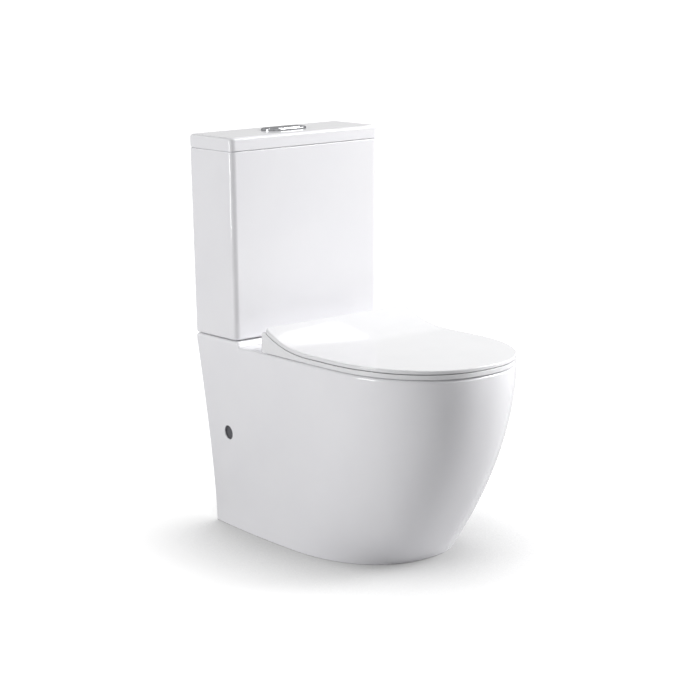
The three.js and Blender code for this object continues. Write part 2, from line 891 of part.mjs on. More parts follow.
/** The tower that stands on the base: foot ring, legs, cage and cap. */
function buildFlushTower() {
  const v = flushValve;
  const footLow = flangeTop + GAP;
  const windowTop = flangeTop + v.windowHeight;
  const cageTop = windowTop + v.cageHeight;
  const inner = v.cageRadius - v.cageWall;
  const foot = tube(v.flangeRadius - 1, inner, footLow, footLow + v.foot, 0, valveY, 20);
  const cage = tube(v.cageRadius, inner, windowTop, cageTop, 0, valveY, 20);
  const cap = post(v.capRadius, capTop - v.cap, capTop, 0, valveY, 20);
  const parts = [foot, cage];
  for (let i = 0; i < v.legs; i++) {
    const turn = ((i + 0.5) * 2 * Math.PI) / v.legs;
    const reach = v.cageRadius - v.cageWall / 2;
    const x = reach * Math.cos(turn);
    const y = valveY + reach * Math.sin(turn);
    parts.push(post(v.cageWall + 1, footLow + v.foot - 1, windowTop + 4, x, y, 8));
    parts.push(post(v.cageWall + 1, cageTop - 4, capTop - 1, x, y, 8));
  }
  const plungerHole = v.plungerRadius + 0.6;
  return union(...parts, cap)
    .subtract(post(plungerHole, capTop - v.cap - 1, capTop + 1, rod.halfX, valveY, 16))
    .subtract(post(plungerHole, capTop - v.cap - 1, capTop + 1, rod.fullX, valveY, 16));
}

/** The part that lifts: overflow tube with its sealing disc and guide ring. */
function buildCanister() {
  const v = flushValve;
  const discLow = valveSeatTop + GAP + v.seal + GAP;
  const guideLow = discLow + v.windowHeight + 30;
  const guideRadius = v.cageRadius - v.cageWall - 1;
  const inner = v.tubeRadius - v.tubeWall;
  return union(
    tube(v.tubeRadius, inner, discLow, discLow + v.tubeHeight, 0, valveY),
    tube(v.discRadius, inner, discLow, discLow + v.disc, 0, valveY, 20),
    tube(guideRadius, inner + 1, guideLow, guideLow + 5, 0, valveY, 20),
  );
}

function buildFlushSeal() {
  const v = flushValve;
  const low = valveSeatTop + GAP;
  return tube(v.discRadius + 1, v.tubeRadius, low, low + v.seal, 0, valveY, 20);
}

const plunger = (x) => {
  const v = flushValve;
  return post(v.plungerRadius, plungerTop - v.plungerHeight, plungerTop, x, valveY, 16);
};

place("flush_valve_base", buildFlushBase(), valvePlastic);
place("flush_valve_tower", buildFlushTower(), valvePlastic);
place("flush_valve_canister", buildCanister(), bluePlastic);
place("flush_valve_seal", buildFlushSeal(), silicone);
place("half_flush_plunger", plunger(rod.halfX), bluePlastic);
place("full_flush_plunger", plunger(rod.fullX), bluePlastic);
place("flush_valve_washer", floorWasher(flushValve.flangeRadius, flushValve.hole, 0), rubber);
place("flush_valve_nut", underNut(backNut, flushValve.shankRadius, 0), valvePlastic);

const gasketLow = platformTop - platform.thickness + GAP;
const gasketBody = tube(gasketRadius, backNut.radius + 1, gasketLow, tankBottom - GAP, 0, valveY, 20);
place("cistern_gasket", gasketBody, foam);

// ---------------------------------------------------------------------------------------------
// Fill valve
// ---------------------------------------------------------------------------------------------

const riserTop = tankFloor + fillValve.height;
const headTop = riserTop + fillValve.head;
const pivotZ = headTop + fillValve.pivotRise;
const floatTop = riserTop - float.below;
const linkX = fillValve.x - float.rodReach;

function buildFillValve() {
  const v = fillValve;
  const flangeLow = tankFloor + washerThickness + GAP;
  const body = turned(
    [
      [0.01, headTop - 3],
      [0.01, headTop],
      [v.headRadius, headTop],
      [v.headRadius, riserTop],
      [v.riserRadius, riserTop],
      [v.riserRadius, flangeLow + v.flange],
      [v.flangeRadius, flangeLow + v.flange],
      [v.flangeRadius, flangeLow],
      [v.shankRadius, flangeLow],
      [v.shankRadius, tankFloor - v.shankLength],
      [v.shankBore, tankFloor - v.shankLength],
      [v.shankBore, headTop - 3],
    ].reverse(),
    v.x,
    valveY,
    16,
  );
  const lugs = [-1, 1].map((side) => {
    const y0 = valveY + side * (v.lugGap / 2);
    const y1 = valveY + side * (v.lugGap / 2 + v.lugWidth);
    return box(
      [v.x - 5, Math.min(y0, y1), headTop - 1],
      [v.x + 5, Math.max(y0, y1), pivotZ + 5],
    );
  });
  const reach = v.lugGap + v.lugWidth;
  return union(body, ...lugs).subtract(
    pinAlongY(v.pinRadius + PIN_CLEARANCE, valveY - reach, valveY + reach, v.x, pivotZ, 12),
  );
}

/** The float cup, its side ear and the link rod with two collars that hold the arm's fork. */
function buildFloat() {
  const f = float;
  const low = floatTop - f.height;
  const cup = tube(f.radius, fillValve.riserRadius + 1.5, low, floatTop, fillValve.x, valveY, 24);
  const earEnd = fillValve.x - f.radius + 3;
  const ear = box([linkX - 4, valveY - 4, floatTop - 6], [earEnd, valveY + 4, floatTop]);
  const reach = arm.thickness / 2 + arm.collarGap;
  return union(
    cup,
    ear,
    post(f.rodRadius, floatTop - 3, pivotZ + reach + 6, linkX, valveY, 10),
    post(f.collar, pivotZ + reach, pivotZ + reach + 2, linkX, valveY, 12),
    post(f.collar, pivotZ - reach - 2, pivotZ - reach, linkX, valveY, 12),
  );
}

function buildArm() {
  const a = arm;
  const half = a.thickness / 2;
  const end = linkX - 7;
  const y0 = valveY - a.width / 2;
  const y1 = valveY + a.width / 2;
  const hub = pinAlongY(a.hubRadius, y0, y1, fillValve.x, pivotZ, 16);
  const bar = box([end, y0, pivotZ - half], [fillValve.x + a.tail, y1, pivotZ + half]);
  const slotWidth = float.rodRadius + 0.7;
  const slot = box(
    [linkX - a.slotHalf, valveY - slotWidth, pivotZ - half - 3],
    [linkX + a.slotHalf, valveY + slotWidth, pivotZ + half + 3],
  );
  const boreRadius = fillValve.pinRadius + PIN_CLEARANCE;
  const bore = pinAlongY(boreRadius, y0 - 1, y1 + 1, fillValve.x, pivotZ, 12);
  return union(hub, bar).subtract(slot).subtract(bore);
}

const armPin = () => {
  const reach = fillValve.lugGap / 2 + fillValve.lugWidth + 1;
  return pinAlongY(fillValve.pinRadius, valveY - reach, valveY + reach, fillValve.x, pivotZ, 12);
};

place("fill_valve_body", buildFillValve(), valvePlastic);
place("fill_valve_float", buildFloat(), bluePlastic);
place("fill_valve_arm", buildArm(), valvePlastic);
place("fill_valve_pin", armPin(), steel);
const fillWasher = floorWasher(fillValve.flangeRadius, fillValve.shankRadius, fillValve.x);
place("fill_valve_washer", fillWasher, rubber);
place("fill_valve_nut", underNut(fillNut, fillValve.shankRadius, fillValve.x), valvePlastic);

// ---------------------------------------------------------------------------------------------
// Bolts that hold the cistern on the pan
// ---------------------------------------------------------------------------------------------

/** A wing nut on an upright stud, its top at z. */
function buildWingNut(stud, z, x, y) {
  const n = wingNut;
  const low = z - n.height;
  const wings = box([x - n.span, y - n.wing / 2, low + 1], [x + n.span, y + n.wing / 2, z - 4]);
  return union(post(n.radius, low, z, x, y, 14), wings).subtract(
    post(stud + PIN_CLEARANCE, low - 5, z + 5, x, y, 12),
  );
}

for (const [side, x] of [["left", -coupling.x], ["right", coupling.x]]) {
  const c = coupling;
  const coneTop = tankFloor + GAP + c.cone;
  const headLow = coneTop + GAP;
  const under = platformTop - platform.thickness;
  const shaft = post(c.boltRadius, headLow - c.length, headLow + 1, x, valveY, 12);
  const head = post(c.headRadius, headLow, headLow + c.head, x, valveY, 6);
  const bore = c.boltRadius + PIN_CLEARANCE;
  const cone = [
    [bore, tankFloor + GAP],
    [c.coneRadius - 3, tankFloor + GAP],
    [c.coneRadius, tankFloor + 3],
    [c.coneRadius, coneTop],
    [bore, coneTop],
  ];
  const plateLow = under - GAP - c.plate;
  place(`coupling_bolt_${side}`, union(head, shaft), brass);
  place(`coupling_cone_${side}`, turned(cone, x, valveY), rubber);
  place(`coupling_washer_${side}`, tube(c.plateRadius, bore, plateLow, under - GAP, x, valveY), steel);
  place(`coupling_wing_nut_${side}`, buildWingNut(c.boltRadius, plateLow - GAP, x, valveY), brass);
}

// ---------------------------------------------------------------------------------------------
// Seat: ring and cover
// ---------------------------------------------------------------------------------------------

/** How far the back sweeps up, at a distance from the wall. */
function wing(distance) {
  if (distance >= seat.wingStart) return 0;
  const share = (seat.wingStart - distance) / (seat.wingStart - hinge.fromWall);
  return seat.wingRise * share ** seat.wingPower;
}

/** The seat's outline in plan, with its straight back at a distance from the wall. */
function seatShape(back, inset = 0) {
  const r = seat.cornerRadius;
  const rearHalf = seat.rearHalfWidth - inset;
  const corner = steps(3).map((u) => {
    const turn = (u * Math.PI) / 2;
    return [rearHalf - r + r * Math.sin(turn), back + r - r * Math.cos(turn)];
  });
  const sizes = {
    back: back + r,
    rearHalf,
    half: seat.halfWidth - inset,
    waist: pan.waist,
    front: LENGTH - inset,
    power: pan.frontPower,
  };
  const half = [...corner.slice(0, -1), ...halfD(sizes, 4, 16)];
  return new THREE.Shape(mirrored(half).map(([x, y]) => new THREE.Vector2(x, y)));
}

/** The side line of the seat at a base height, moved square to itself by an offset. */
function sweptLine(base, offset, from) {
  const at = (d) => {
    const slope = wing(d - 0.5) - wing(d + 0.5);
    const length = Math.hypot(1, slope);
    return [d - (offset * slope) / length, base + wing(d) + offset / length];
  };
  const swept = steps(9).map((u) => at(THREE.MathUtils.lerp(from, seat.wingStart, u)));
  return [...swept, [LENGTH + 20, base + offset]];
}

/** The seat cover: a thin leaf that sweeps up over the hinge, with a lug at each hinge. */
function buildSeatCover() {
  const bottom = sweptLine(seatTop, -seat.coverThickness, hinge.fromWall);
  const top = sweptLine(seatTop, 0, hinge.fromWall).reverse();
  const leaf = sideProfile([...bottom, ...top], 200).intersect(
    prism(seatShape(hinge.fromWall), RIM_HEIGHT - 5, RIM_HEIGHT + 100),
  );
  const lug = lugSpan();
  const reach = hinge.knuckle + 6;
  const neckTop = sweptLine(seatTop, -2, hinge.fromWall);
  const back = [[LENGTH, RIM_HEIGHT], [0, RIM_HEIGHT], [0, seatTop + seat.wingRise - 2]];
  const underTop = sideProfile([...neckTop, ...back], 200);
  const parts = [leaf];
  for (const side of [-1, 1]) {
    const x0 = Math.min(side * lug.from, side * lug.to);
    const x1 = Math.max(side * lug.from, side * lug.to);
    const neck = box([x0, hingeY - 7, hingeZ], [x1, hingeY + 7, hingeZ + reach]);
    parts.push(barrel(hinge.blockRadius - 2, x0, x1, hingeY, hingeZ), neck.intersect(underTop));
  }
  const bore = barrel(hinge.pinRadius + PIN_CLEARANCE, -lug.to - 5, lug.to + 5, hingeY, hingeZ, 16);
  const pockets = bumperPlaces.cover.map(([x, y]) =>
    post(bumper.coverRadius + GAP, RIM_HEIGHT, coverBumperTop + GAP, x, y, 16),
  );
  return pockets.reduce((made, pocket) => made.subtract(pocket), union(...parts).subtract(bore));
}

/** Where the cover's lugs stand, as distances from the middle. */
function lugSpan() {
  const to = hinge.x - hinge.blockHalfWidth - 1;
  return { from: to - hinge.innerPin, to };
}

const bumperPlaces = {
  ring: [
    [-146, fromWall(560)],
    [146, fromWall(560)],
    [-150, fromWall(300)],
    [150, fromWall(300)],
  ],
  cover: [
    [-128, fromWall(560)],
    [128, fromWall(560)],
  ],
};
const ringBumperTop = ringBottom + bumper.sunk;
const coverBumperTop = ringTop + seat.joint + bumper.coverSunk;

/** The ring: its top follows the cover's underside, and its back is rounded about the hinge. */
function buildRing() {
  const drop = -seat.coverThickness - seat.joint;
  const rear = hinge.fromWall - hinge.knuckle;
  const swept = sweptLine(seatTop, drop, hinge.fromWall + 4);
  const knuckle = steps(5).map((u) => {
    const turn = (u * Math.PI) / 2;
    return [hinge.fromWall - hinge.knuckle * Math.cos(turn), hingeZ + hinge.knuckle * Math.sin(turn)];
  });
  const swing = hinge.height - 0.5; // radius that clears the deck as the ring lifts
  const low = Math.acos(hinge.knuckle / swing);
  const high = Math.asin((hingeZ - ringBottom) / swing);
  const heel = steps(3).map((u) => {
    const turn = THREE.MathUtils.lerp(low, high, 1 - u);
    return [hinge.fromWall - swing * Math.cos(turn), hingeZ - swing * Math.sin(turn)];
  });
  const profile = [...heel, ...knuckle, ...swept, [LENGTH + 20, ringBottom]];
  const opening = oval(seat.openingHalfWidth, seat.openingHalfLength, seat.openingMiddle, bowl.power, 44);
  const openingShape = new THREE.Shape(opening.map(([x, y]) => new THREE.Vector2(x, y)));
  const block = sideProfile(profile, 200)
    .intersect(prism(seatShape(rear), RIM_HEIGHT - 5, RIM_HEIGHT + 100))
    .subtract(prism(openingShape, RIM_HEIGHT - 5, RIM_HEIGHT + 100));
  const lug = lugSpan();
  const cuts = [];
  for (const side of [-1, 1]) {
    const inner = side * (lug.from - hinge.side);
    const outer = side * (hinge.x + hinge.blockHalfWidth + hinge.side);
    cuts.push(box(
      [Math.min(inner, outer), hingeY - hinge.knuckle - 6, RIM_HEIGHT - 5],
      [Math.max(inner, outer), hingeY + 60, RIM_HEIGHT + 100],
    ));
    const pinEnd = side * (hinge.x + hinge.blockHalfWidth + hinge.outerPin + 1);
    const bore = [outer - side, pinEnd].sort((a, b) => a - b);
    cuts.push(barrel(hinge.pinRadius + PIN_CLEARANCE, ...bore, hingeY, hingeZ));
  }
  for (const [x, y] of bumperPlaces.ring) {
    cuts.push(post(bumper.radius + GAP, RIM_HEIGHT - 5, ringBumperTop + GAP, x, y, 16));
  }
  return cuts.reduce((made, cut) => made.subtract(cut), block);
}

place("seat_ring", buildRing(), seatPlastic);
place("seat_cover", buildSeatCover(), seatPlastic);

const ringCorners = ["front_left", "front_right", "rear_left", "rear_right"];
bumperPlaces.ring.forEach(([x, y], i) => {
  const body = post(bumper.radius, RIM_HEIGHT + GAP, ringBumperTop, x, y);
  place(`ring_bumper_${ringCorners[i]}`, body, bumperRubber);
});
bumperPlaces.cover.forEach(([x, y], i) => {
  const body = post(bumper.coverRadius, ringTop + GAP, coverBumperTop, x, y);
  place(`cover_bumper_${["left", "right"][i]}`, body, bumperRubber);
});

// ---------------------------------------------------------------------------------------------
// Seat hinges
// ---------------------------------------------------------------------------------------------

/** The post that stands on the deck and carries the damper barrel. */
function buildHingePost(x) {
  const h = hinge;
  const low = RIM_HEIGHT + GAP + h.rosette + GAP;
  const r = h.blockRadius;
  const block = union(
    barrel(r, x - h.blockHalfWidth, x + h.blockHalfWidth, hingeY, hingeZ, 24),
    box([x - h.blockHalfWidth, hingeY - r, low + 6], [x + h.blockHalfWidth, hingeY + r, hingeZ]),
    post(h.neckRadius, low, low + 8, x, hingeY),
  );
  return block
    .subtract(barrel(h.barrelRadius + PIN_CLEARANCE, x - 20, x + 20, hingeY, hingeZ))
    .subtract(post(h.studRadius + PIN_CLEARANCE, low - 5, low + h.studGrip + GAP, x, hingeY, 12));
}

/** The soft close damper: a barrel with a pin for the ring outside and one for the cover inside. */
function buildDamper(x, side) {
  const h = hinge;
  const outer = x + side * (h.blockHalfWidth + h.outerPin);
  const inner = x - side * (h.blockHalfWidth + h.innerPin);
  return union(
    barrel(h.barrelRadius, x - h.blockHalfWidth, x + h.blockHalfWidth, hingeY, hingeZ, 16),
    barrel(h.pinRadius, Math.min(outer, inner), Math.max(outer, inner), hingeY, hingeZ, 16),
  );
}

for (const [name, side] of [["left", -1], ["right", 1]]) {
  const h = hinge;
  const x = side * h.x;
  const rosetteLow = RIM_HEIGHT + GAP;
  const postLow = rosetteLow + h.rosette + GAP;
  const deckUnder = RIM_HEIGHT - pan.deckThickness;
  const bore = h.studRadius + PIN_CLEARANCE;
  place(`hinge_post_${name}`, buildHingePost(x), chrome);
  place(`hinge_damper_${name}`, buildDamper(x, side), steel);
  const rosetteHigh = rosetteLow + h.rosette;
  place(`hinge_rosette_${name}`, tube(h.rosetteRadius, bore, rosetteLow, rosetteHigh, x, hingeY, 24), chrome);
  const studTop = postLow + h.studGrip;
  const studLow = studTop - h.studLength - h.studGrip;
  place(`hinge_stud_${name}`, post(h.studRadius, studLow, studTop, x, hingeY, 12), steel);
  const bushTop = RIM_HEIGHT - 1;
  const bushLow = deckUnder - GAP - h.bush;
  const bush = [
    [bore, bushLow],
    [h.bushRadius, bushLow],
    [h.bushRadius, deckUnder - GAP],
    [h.deckHole - GAP, deckUnder - GAP],
    [h.deckHole - GAP, bushTop],
    [bore, bushTop],
  ];
  place(`hinge_bush_${name}`, turned(bush, x, hingeY), rubber);
  place(`hinge_wing_nut_${name}`, buildWingNut(h.studRadius, bushLow - GAP, x, hingeY), valvePlastic);
}

export default toilet;
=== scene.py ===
# The finished look of a close coupled toilet. The china, the seat and the flush button are remade here
# as fine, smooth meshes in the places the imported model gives, and every other part keeps its packed
# shape with softened edges. Metres, +Z up, the wall at +Y.

import json
import math

import bmesh
import bpy
from mathutils import Matrix, Vector


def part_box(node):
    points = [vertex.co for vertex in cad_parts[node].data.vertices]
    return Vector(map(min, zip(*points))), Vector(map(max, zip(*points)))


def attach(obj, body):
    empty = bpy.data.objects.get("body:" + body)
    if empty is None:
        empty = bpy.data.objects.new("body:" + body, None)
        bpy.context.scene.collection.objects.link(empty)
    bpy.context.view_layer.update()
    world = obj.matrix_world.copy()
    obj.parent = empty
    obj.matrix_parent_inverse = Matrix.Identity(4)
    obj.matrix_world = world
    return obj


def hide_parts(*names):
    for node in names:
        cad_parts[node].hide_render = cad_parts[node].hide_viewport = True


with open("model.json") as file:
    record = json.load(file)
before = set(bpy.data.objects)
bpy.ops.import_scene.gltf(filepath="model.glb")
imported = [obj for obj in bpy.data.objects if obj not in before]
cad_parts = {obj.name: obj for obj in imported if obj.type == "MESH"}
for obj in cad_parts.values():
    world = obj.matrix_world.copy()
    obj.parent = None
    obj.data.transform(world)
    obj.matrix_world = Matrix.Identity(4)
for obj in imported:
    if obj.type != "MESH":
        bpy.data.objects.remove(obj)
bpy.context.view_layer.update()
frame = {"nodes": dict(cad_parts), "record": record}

MM = 0.001
nodes = frame["nodes"]
scene = bpy.context.scene

# ---------------------------------------------------------------------------------------------
# Sizes, from the frame where it holds them
# ---------------------------------------------------------------------------------------------

pan_low, pan_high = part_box("pan")
tank_low, tank_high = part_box("cistern_tank")
lid_low, lid_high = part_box("cistern_lid")
cover_low, cover_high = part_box("seat_cover")
ring_low, ring_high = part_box("seat_ring")
bezel_low, bezel_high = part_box("button_bezel")

WALL_Y = tank_high.y
LENGTH = round(WALL_Y - cover_low.y, 6)  # to a micrometre, so that the seat closes at its tip
SHELF = pan_high.z  # top of the shelf under the cistern
RIM = SHELF - 10 * MM  # deck and rim
CHINA = 11 * MM

PAN_FRONT = WALL_Y - pan_low.y
FOOT_FRONT = 504 * MM
PAN_HALF = pan_high.x
FOOT_HALF = 164.5 * MM
REAR_HALF = 188 * MM
FOOT_REAR_HALF = 149 * MM
WAIST = 434 * MM
FOOT_WAIST = 270 * MM
FRONT_POWER = 2.22
FOOT_POWER = 2.35
FRONT_BULGE = 1.75
REAR_SLOPE = 1.4
DECK_THICK = 14 * MM
STEP_BACK = 138 * MM  # the shelf's step, from the wall
STEP_FRONT = 146.5 * MM

HINGE_AT = 232 * MM  # hinge axis, from the wall
HINGE_Z = RIM + 28 * MM
POST_X = 77.5 * MM  # each hinge post's middle
HINGE_BORE = 4.3 * MM  # radius of the bores for the hinge pins
SEAT_HALF = cover_high.x
SEAT_REAR_HALF = SEAT_HALF - 2 * MM
SEAT_THICK = 7.3 * MM
SEAT_JOINT = 1.6 * MM
WING_START = 380 * MM
WING_RISE = 33 * MM
WING_POWER = 2.5
SEAT_TOP = cover_high.z - WING_RISE
RING_BOTTOM = RIM + 1.5 * MM


def at(distance):
    """The Y of a distance from the wall."""
    return WALL_Y - distance


def lerp(a, b, t):
    return a + (b - a) * t


def spread(a, b, count):
    """count + 1 even values from a to b."""
    return [lerp(a, b, i / count) for i in range(count + 1)]


def smooth(t):
    t = min(max(t, 0.0), 1.0)
    return t * t * t * (t * (6 * t - 15) + 10)


# ---------------------------------------------------------------------------------------------
# Mesh tools
# ---------------------------------------------------------------------------------------------


def make(name, points, faces):
    """A mesh object from points and faces, its normals turned outwards."""
    mesh = bpy.data.meshes.new(name)
    mesh.from_pydata([tuple(p) for p in points], [], faces)
    work = bmesh.new()
    work.from_mesh(mesh)
    bmesh.ops.remove_doubles(work, verts=work.verts, dist=0.002 * MM)
    bmesh.ops.recalc_face_normals(work, faces=work.faces)
    work.to_mesh(mesh)
    work.free()
    piece = bpy.data.objects.new(name, mesh)
    scene.collection.objects.link(piece)
    return piece


def loft(name, rings):
    """A closed skin through rings of [x, y, z] points, capped at both ends."""
    count = len(rings[0])
    points = [p for ring in rings for p in ring]
    faces = []
    for level in range(len(rings) - 1):
        a = level * count
        for i in range(count):
            j = (i + 1) % count
            faces.append((a + i, a + j, a + count + j, a + count + i))
    faces.append(tuple(reversed(range(count))))
    faces.append(tuple(range((len(rings) - 1) * count, len(rings) * count)))
    return make(name, points, faces)


def block(name, low, high):
    """A plain box."""
    xs, ys, zs = zip(low, high)
    points = [(x, y, z) for z in zs for y in ys for x in xs]
    faces = [(0, 2, 3, 1), (4, 5, 7, 6), (0, 1, 5, 4), (2, 6, 7, 3), (0, 4, 6, 2), (1, 3, 7, 5)]
    return make(name, points, faces)


def round_ring(radius, centre, u, v, count):
    """A circle of points about a centre, in the plane of u and v."""
    return [
        centre + radius * (math.cos(turn) * u + math.sin(turn) * v)
        for turn in (2 * math.pi * i / count for i in range(count))
    ]


def rod(name, radius, start, end, count=48):
    """A cylinder between two points."""
    start, end = Vector(start), Vector(end)
    along = (end - start).normalized()
    u = along.orthogonal().normalized()
    v = along.cross(u)
    return loft(name, [round_ring(radius, p, u, v, count) for p in (start, end)])


def combine(piece, other, operation):
    """Joins or cuts a piece with another, which is used up."""
    step = piece.modifiers.new("combine", "BOOLEAN")
    step.operation = operation
    step.object = other
    step.solver = "MANIFOLD"
    bpy.context.view_layer.update()
    made = bpy.data.meshes.new_from_object(piece.evaluated_get(bpy.context.evaluated_depsgraph_get()))
    piece.modifiers.clear()
    old = piece.data
    piece.data = made
    bpy.data.meshes.remove(old)
    bpy.data.objects.remove(other)


def cut(piece, *others):
    for other in others:
        combine(piece, other, "DIFFERENCE")


def join(piece, *others):
    for other in others:
        combine(piece, other, "UNION")


def soften(piece, width=0, angle=35):
    """Smooth shading that keeps flat faces flat, after an optional bevel."""
    for face in piece.data.polygons:
        face.use_smooth = True
    if width:
        bevel = piece.modifiers.new("edges", "BEVEL")
        bevel.width = width
        bevel.segments = 3
        bevel.limit_method = "ANGLE"
        bevel.angle_limit = math.radians(angle)
        bevel.use_clamp_overlap = True
    piece.data.set_sharp_from_angle(angle=math.radians(angle))
    normals = piece.modifiers.new("normals", "WEIGHTED_NORMAL")
    normals.keep_sharp = True
    normals.weight = 60


# ---------------------------------------------------------------------------------------------
# Materials
# ---------------------------------------------------------------------------------------------


class Paint:
    """A node material built round one Principled shader."""

    def __init__(self, name, metallic=0.0, ior=1.5):
        self.material = bpy.data.materials.new(name)
        self.material.use_nodes = True
        self.tree = self.material.node_tree
        self.shader = self.tree.nodes["Principled BSDF"]
        self.shader.inputs["Metallic"].default_value = metallic
        self.shader.inputs["IOR"].default_value = ior
        self.place = self.tree.nodes.new("ShaderNodeTexCoord").outputs["Object"]

    def noise(self, scale, detail=3.0, stretch=(1, 1, 1)):
        """A noise value over the object, stretched along its axes."""
        mapping = self.tree.nodes.new("ShaderNodeMapping")
        mapping.inputs["Scale"].default_value = stretch
        self.tree.links.new(self.place, mapping.inputs["Vector"])
        texture = self.tree.nodes.new("ShaderNodeTexNoise")
        texture.inputs["Scale"].default_value = scale
        texture.inputs["Detail"].default_value = detail
        self.tree.links.new(mapping.outputs["Vector"], texture.inputs["Vector"])
        return texture.outputs["Fac"]

    def colour(self, noise, low, high):
        """Base colour between two colours, by a noise value."""
        ramp = self.tree.nodes.new("ShaderNodeValToRGB")
        ramp.color_ramp.elements[0].position = 0.3
        ramp.color_ramp.elements[1].position = 0.7
        ramp.color_ramp.elements[0].color = (*low, 1)
        ramp.color_ramp.elements[1].color = (*high, 1)
        self.tree.links.new(noise, ramp.inputs["Fac"])
        self.tree.links.new(ramp.outputs["Color"], self.shader.inputs["Base Color"])

    def roughness(self, noise, low, high):
        span = self.tree.nodes.new("ShaderNodeMapRange")
        span.inputs["From Min"].default_value = 0.3
        span.inputs["From Max"].default_value = 0.7
        span.inputs["To Min"].default_value = low
        span.inputs["To Max"].default_value = high
        self.tree.links.new(noise, span.inputs["Value"])
        self.tree.links.new(span.outputs["Result"], self.shader.inputs["Roughness"])

    def bump(self, *layers):
        """Surface relief from (noise, depth in metres) layers."""
        last = None
        for noise, depth in layers:
            node = self.tree.nodes.new("ShaderNodeBump")
            node.inputs["Strength"].default_value = 1.0
            node.inputs["Distance"].default_value = depth
            self.tree.links.new(noise, node.inputs["Height"])
            if last:
                self.tree.links.new(last.outputs["Normal"], node.inputs["Normal"])
            last = node
        self.tree.links.new(last.outputs["Normal"], self.shader.inputs["Normal"])


def glazed_china():
    paint = Paint("glazed_china", ior=1.52)
    clouds = paint.noise(9, 4)
    paint.colour(clouds, (0.845, 0.842, 0.867), (0.862, 0.859, 0.88))
    paint.roughness(paint.noise(40, 2), 0.04, 0.07)
    paint.bump((paint.noise(22, 1), 0.05 * MM), (paint.noise(140, 2), 0.004 * MM))
    return paint.material


def seat_plastic():
    paint = Paint("seat_plastic", ior=1.5)
    paint.colour(paint.noise(14, 3), (0.812, 0.812, 0.826), (0.83, 0.83, 0.842))
    paint.roughness(paint.noise(60, 2), 0.08, 0.12)
    paint.bump((paint.noise(30, 1), 0.02 * MM), (paint.noise(700, 2), 0.001 * MM))
    return paint.material


def chrome():
    paint = Paint("polished_chrome", metallic=1.0)
    paint.shader.inputs["Specular Tint"].default_value = (0.42, 0.42, 0.44, 1)
    # base colour darker than real chrome: painted shade standing for the dark room that the chrome reflects
    paint.colour(paint.noise(60, 3), (0.30, 0.303, 0.315), (0.46, 0.463, 0.475))
    paint.roughness(paint.noise(240, 3), 0.06, 0.13)
    paint.bump((paint.noise(90, 2), 0.002 * MM))
    return paint.material


def brushed_steel():
    paint = Paint("brushed_steel", metallic=1.0)
    streaks = paint.noise(900, 3, (1, 1, 0.03))
    paint.colour(streaks, (0.46, 0.47, 0.49), (0.60, 0.61, 0.63))
    paint.roughness(streaks, 0.22, 0.4)
    paint.bump((streaks, 0.004 * MM))
    return paint.material


def brass():
    paint = Paint("brass", metallic=1.0)
    paint.colour(paint.noise(120, 4), (0.52, 0.36, 0.13), (0.66, 0.49, 0.21))
    paint.roughness(paint.noise(300, 3), 0.24, 0.42)
    paint.bump((paint.noise(500, 3), 0.008 * MM))
    return paint.material


def moulded(name, low, high):
    """A satin moulded plastic."""
    paint = Paint(name)
    paint.colour(paint.noise(35, 3), low, high)
    paint.roughness(paint.noise(180, 3), 0.34, 0.48)
    paint.bump((paint.noise(60, 1), 0.03 * MM), (paint.noise(1500, 3), 0.006 * MM))
    return paint.material


def rubber(name, low, high, grain=0.02):
    """A matt elastomer with a fine grain, its depth in millimetres."""
    paint = Paint(name)
    paint.colour(paint.noise(80, 4), low, high)
    paint.roughness(paint.noise(300, 3), 0.6, 0.82)
    paint.bump((paint.noise(1100, 4), grain * MM))
    return paint.material


LOOKS = {
    "china": glazed_china(),
    "seat_plastic": seat_plastic(),
    "chrome": chrome(),
    "valve_plastic": moulded("valve_plastic", (0.76, 0.78, 0.8), (0.83, 0.84, 0.85)),
    # near black; on the side plugs this dark is also painted shade, standing for the shadow inside the side
    # holes
    "grey_plastic": moulded("grey_plastic", (0.085, 0.085, 0.095), (0.11, 0.11, 0.12)),
    "blue_plastic": moulded("blue_plastic", (0.02, 0.13, 0.36), (0.03, 0.17, 0.43)),
    "steel": brushed_steel(),
    "brass": brass(),
    "black_rubber": rubber("black_rubber", (0.012, 0.012, 0.013), (0.03, 0.03, 0.032)),
    "silicone": rubber("red_silicone", (0.36, 0.045, 0.035), (0.43, 0.07, 0.05), 0.008),
    "foam_rubber": rubber("foam_rubber", (0.03, 0.03, 0.033), (0.075, 0.075, 0.08), 0.12),
    "bumper_rubber": rubber("bumper_rubber", (0.62, 0.62, 0.63), (0.7, 0.7, 0.71), 0.01),
}


def finish_piece(piece, body, slot, *replaced):
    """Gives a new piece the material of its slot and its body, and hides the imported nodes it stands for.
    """
    piece.data.materials.clear()
    piece.data.materials.append(LOOKS[slot])
    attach(piece, body)
    if replaced:
        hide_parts(*replaced)


# ---------------------------------------------------------------------------------------------
# Pan
# ---------------------------------------------------------------------------------------------

EDGE = 6 * MM  # rounding of the rim's outer edge
FOOT_EDGE = 2 * MM


def rim_height(distance):
    """The top of the pan, which steps down in front of the cistern."""
    return lerp(SHELF, RIM, smooth((distance - STEP_BACK) / (STEP_FRONT - STEP_BACK)))


def half_outline(share, inset, along, turns, back=0.0):
    """Half the pan's outline at a share of its height: [x, distance] from the wall to the front tip."""
    share = min(share, 1.0)
    forward = 1 - (1 - share) ** FRONT_BULGE
    half = lerp(FOOT_HALF, PAN_HALF, forward) - inset
    rear = min(lerp(FOOT_REAR_HALF, REAR_HALF, share**REAR_SLOPE) - inset, half)
    waist = lerp(FOOT_WAIST, WAIST, forward)
    front = lerp(FOOT_FRONT, PAN_FRONT, forward) - inset
    power = lerp(FOOT_POWER, FRONT_POWER, share)
    sides = [(half - (half - rear) * (1 - u) ** 2, back + u * (waist - back)) for u in along]
    fronts = [
        (
            half * max(math.cos(turn), 0.0) ** (2 / power),
            waist + (front - waist) * math.sin(turn) ** (2 / power),
        )
        for turn in turns
    ]
    return sides + fronts


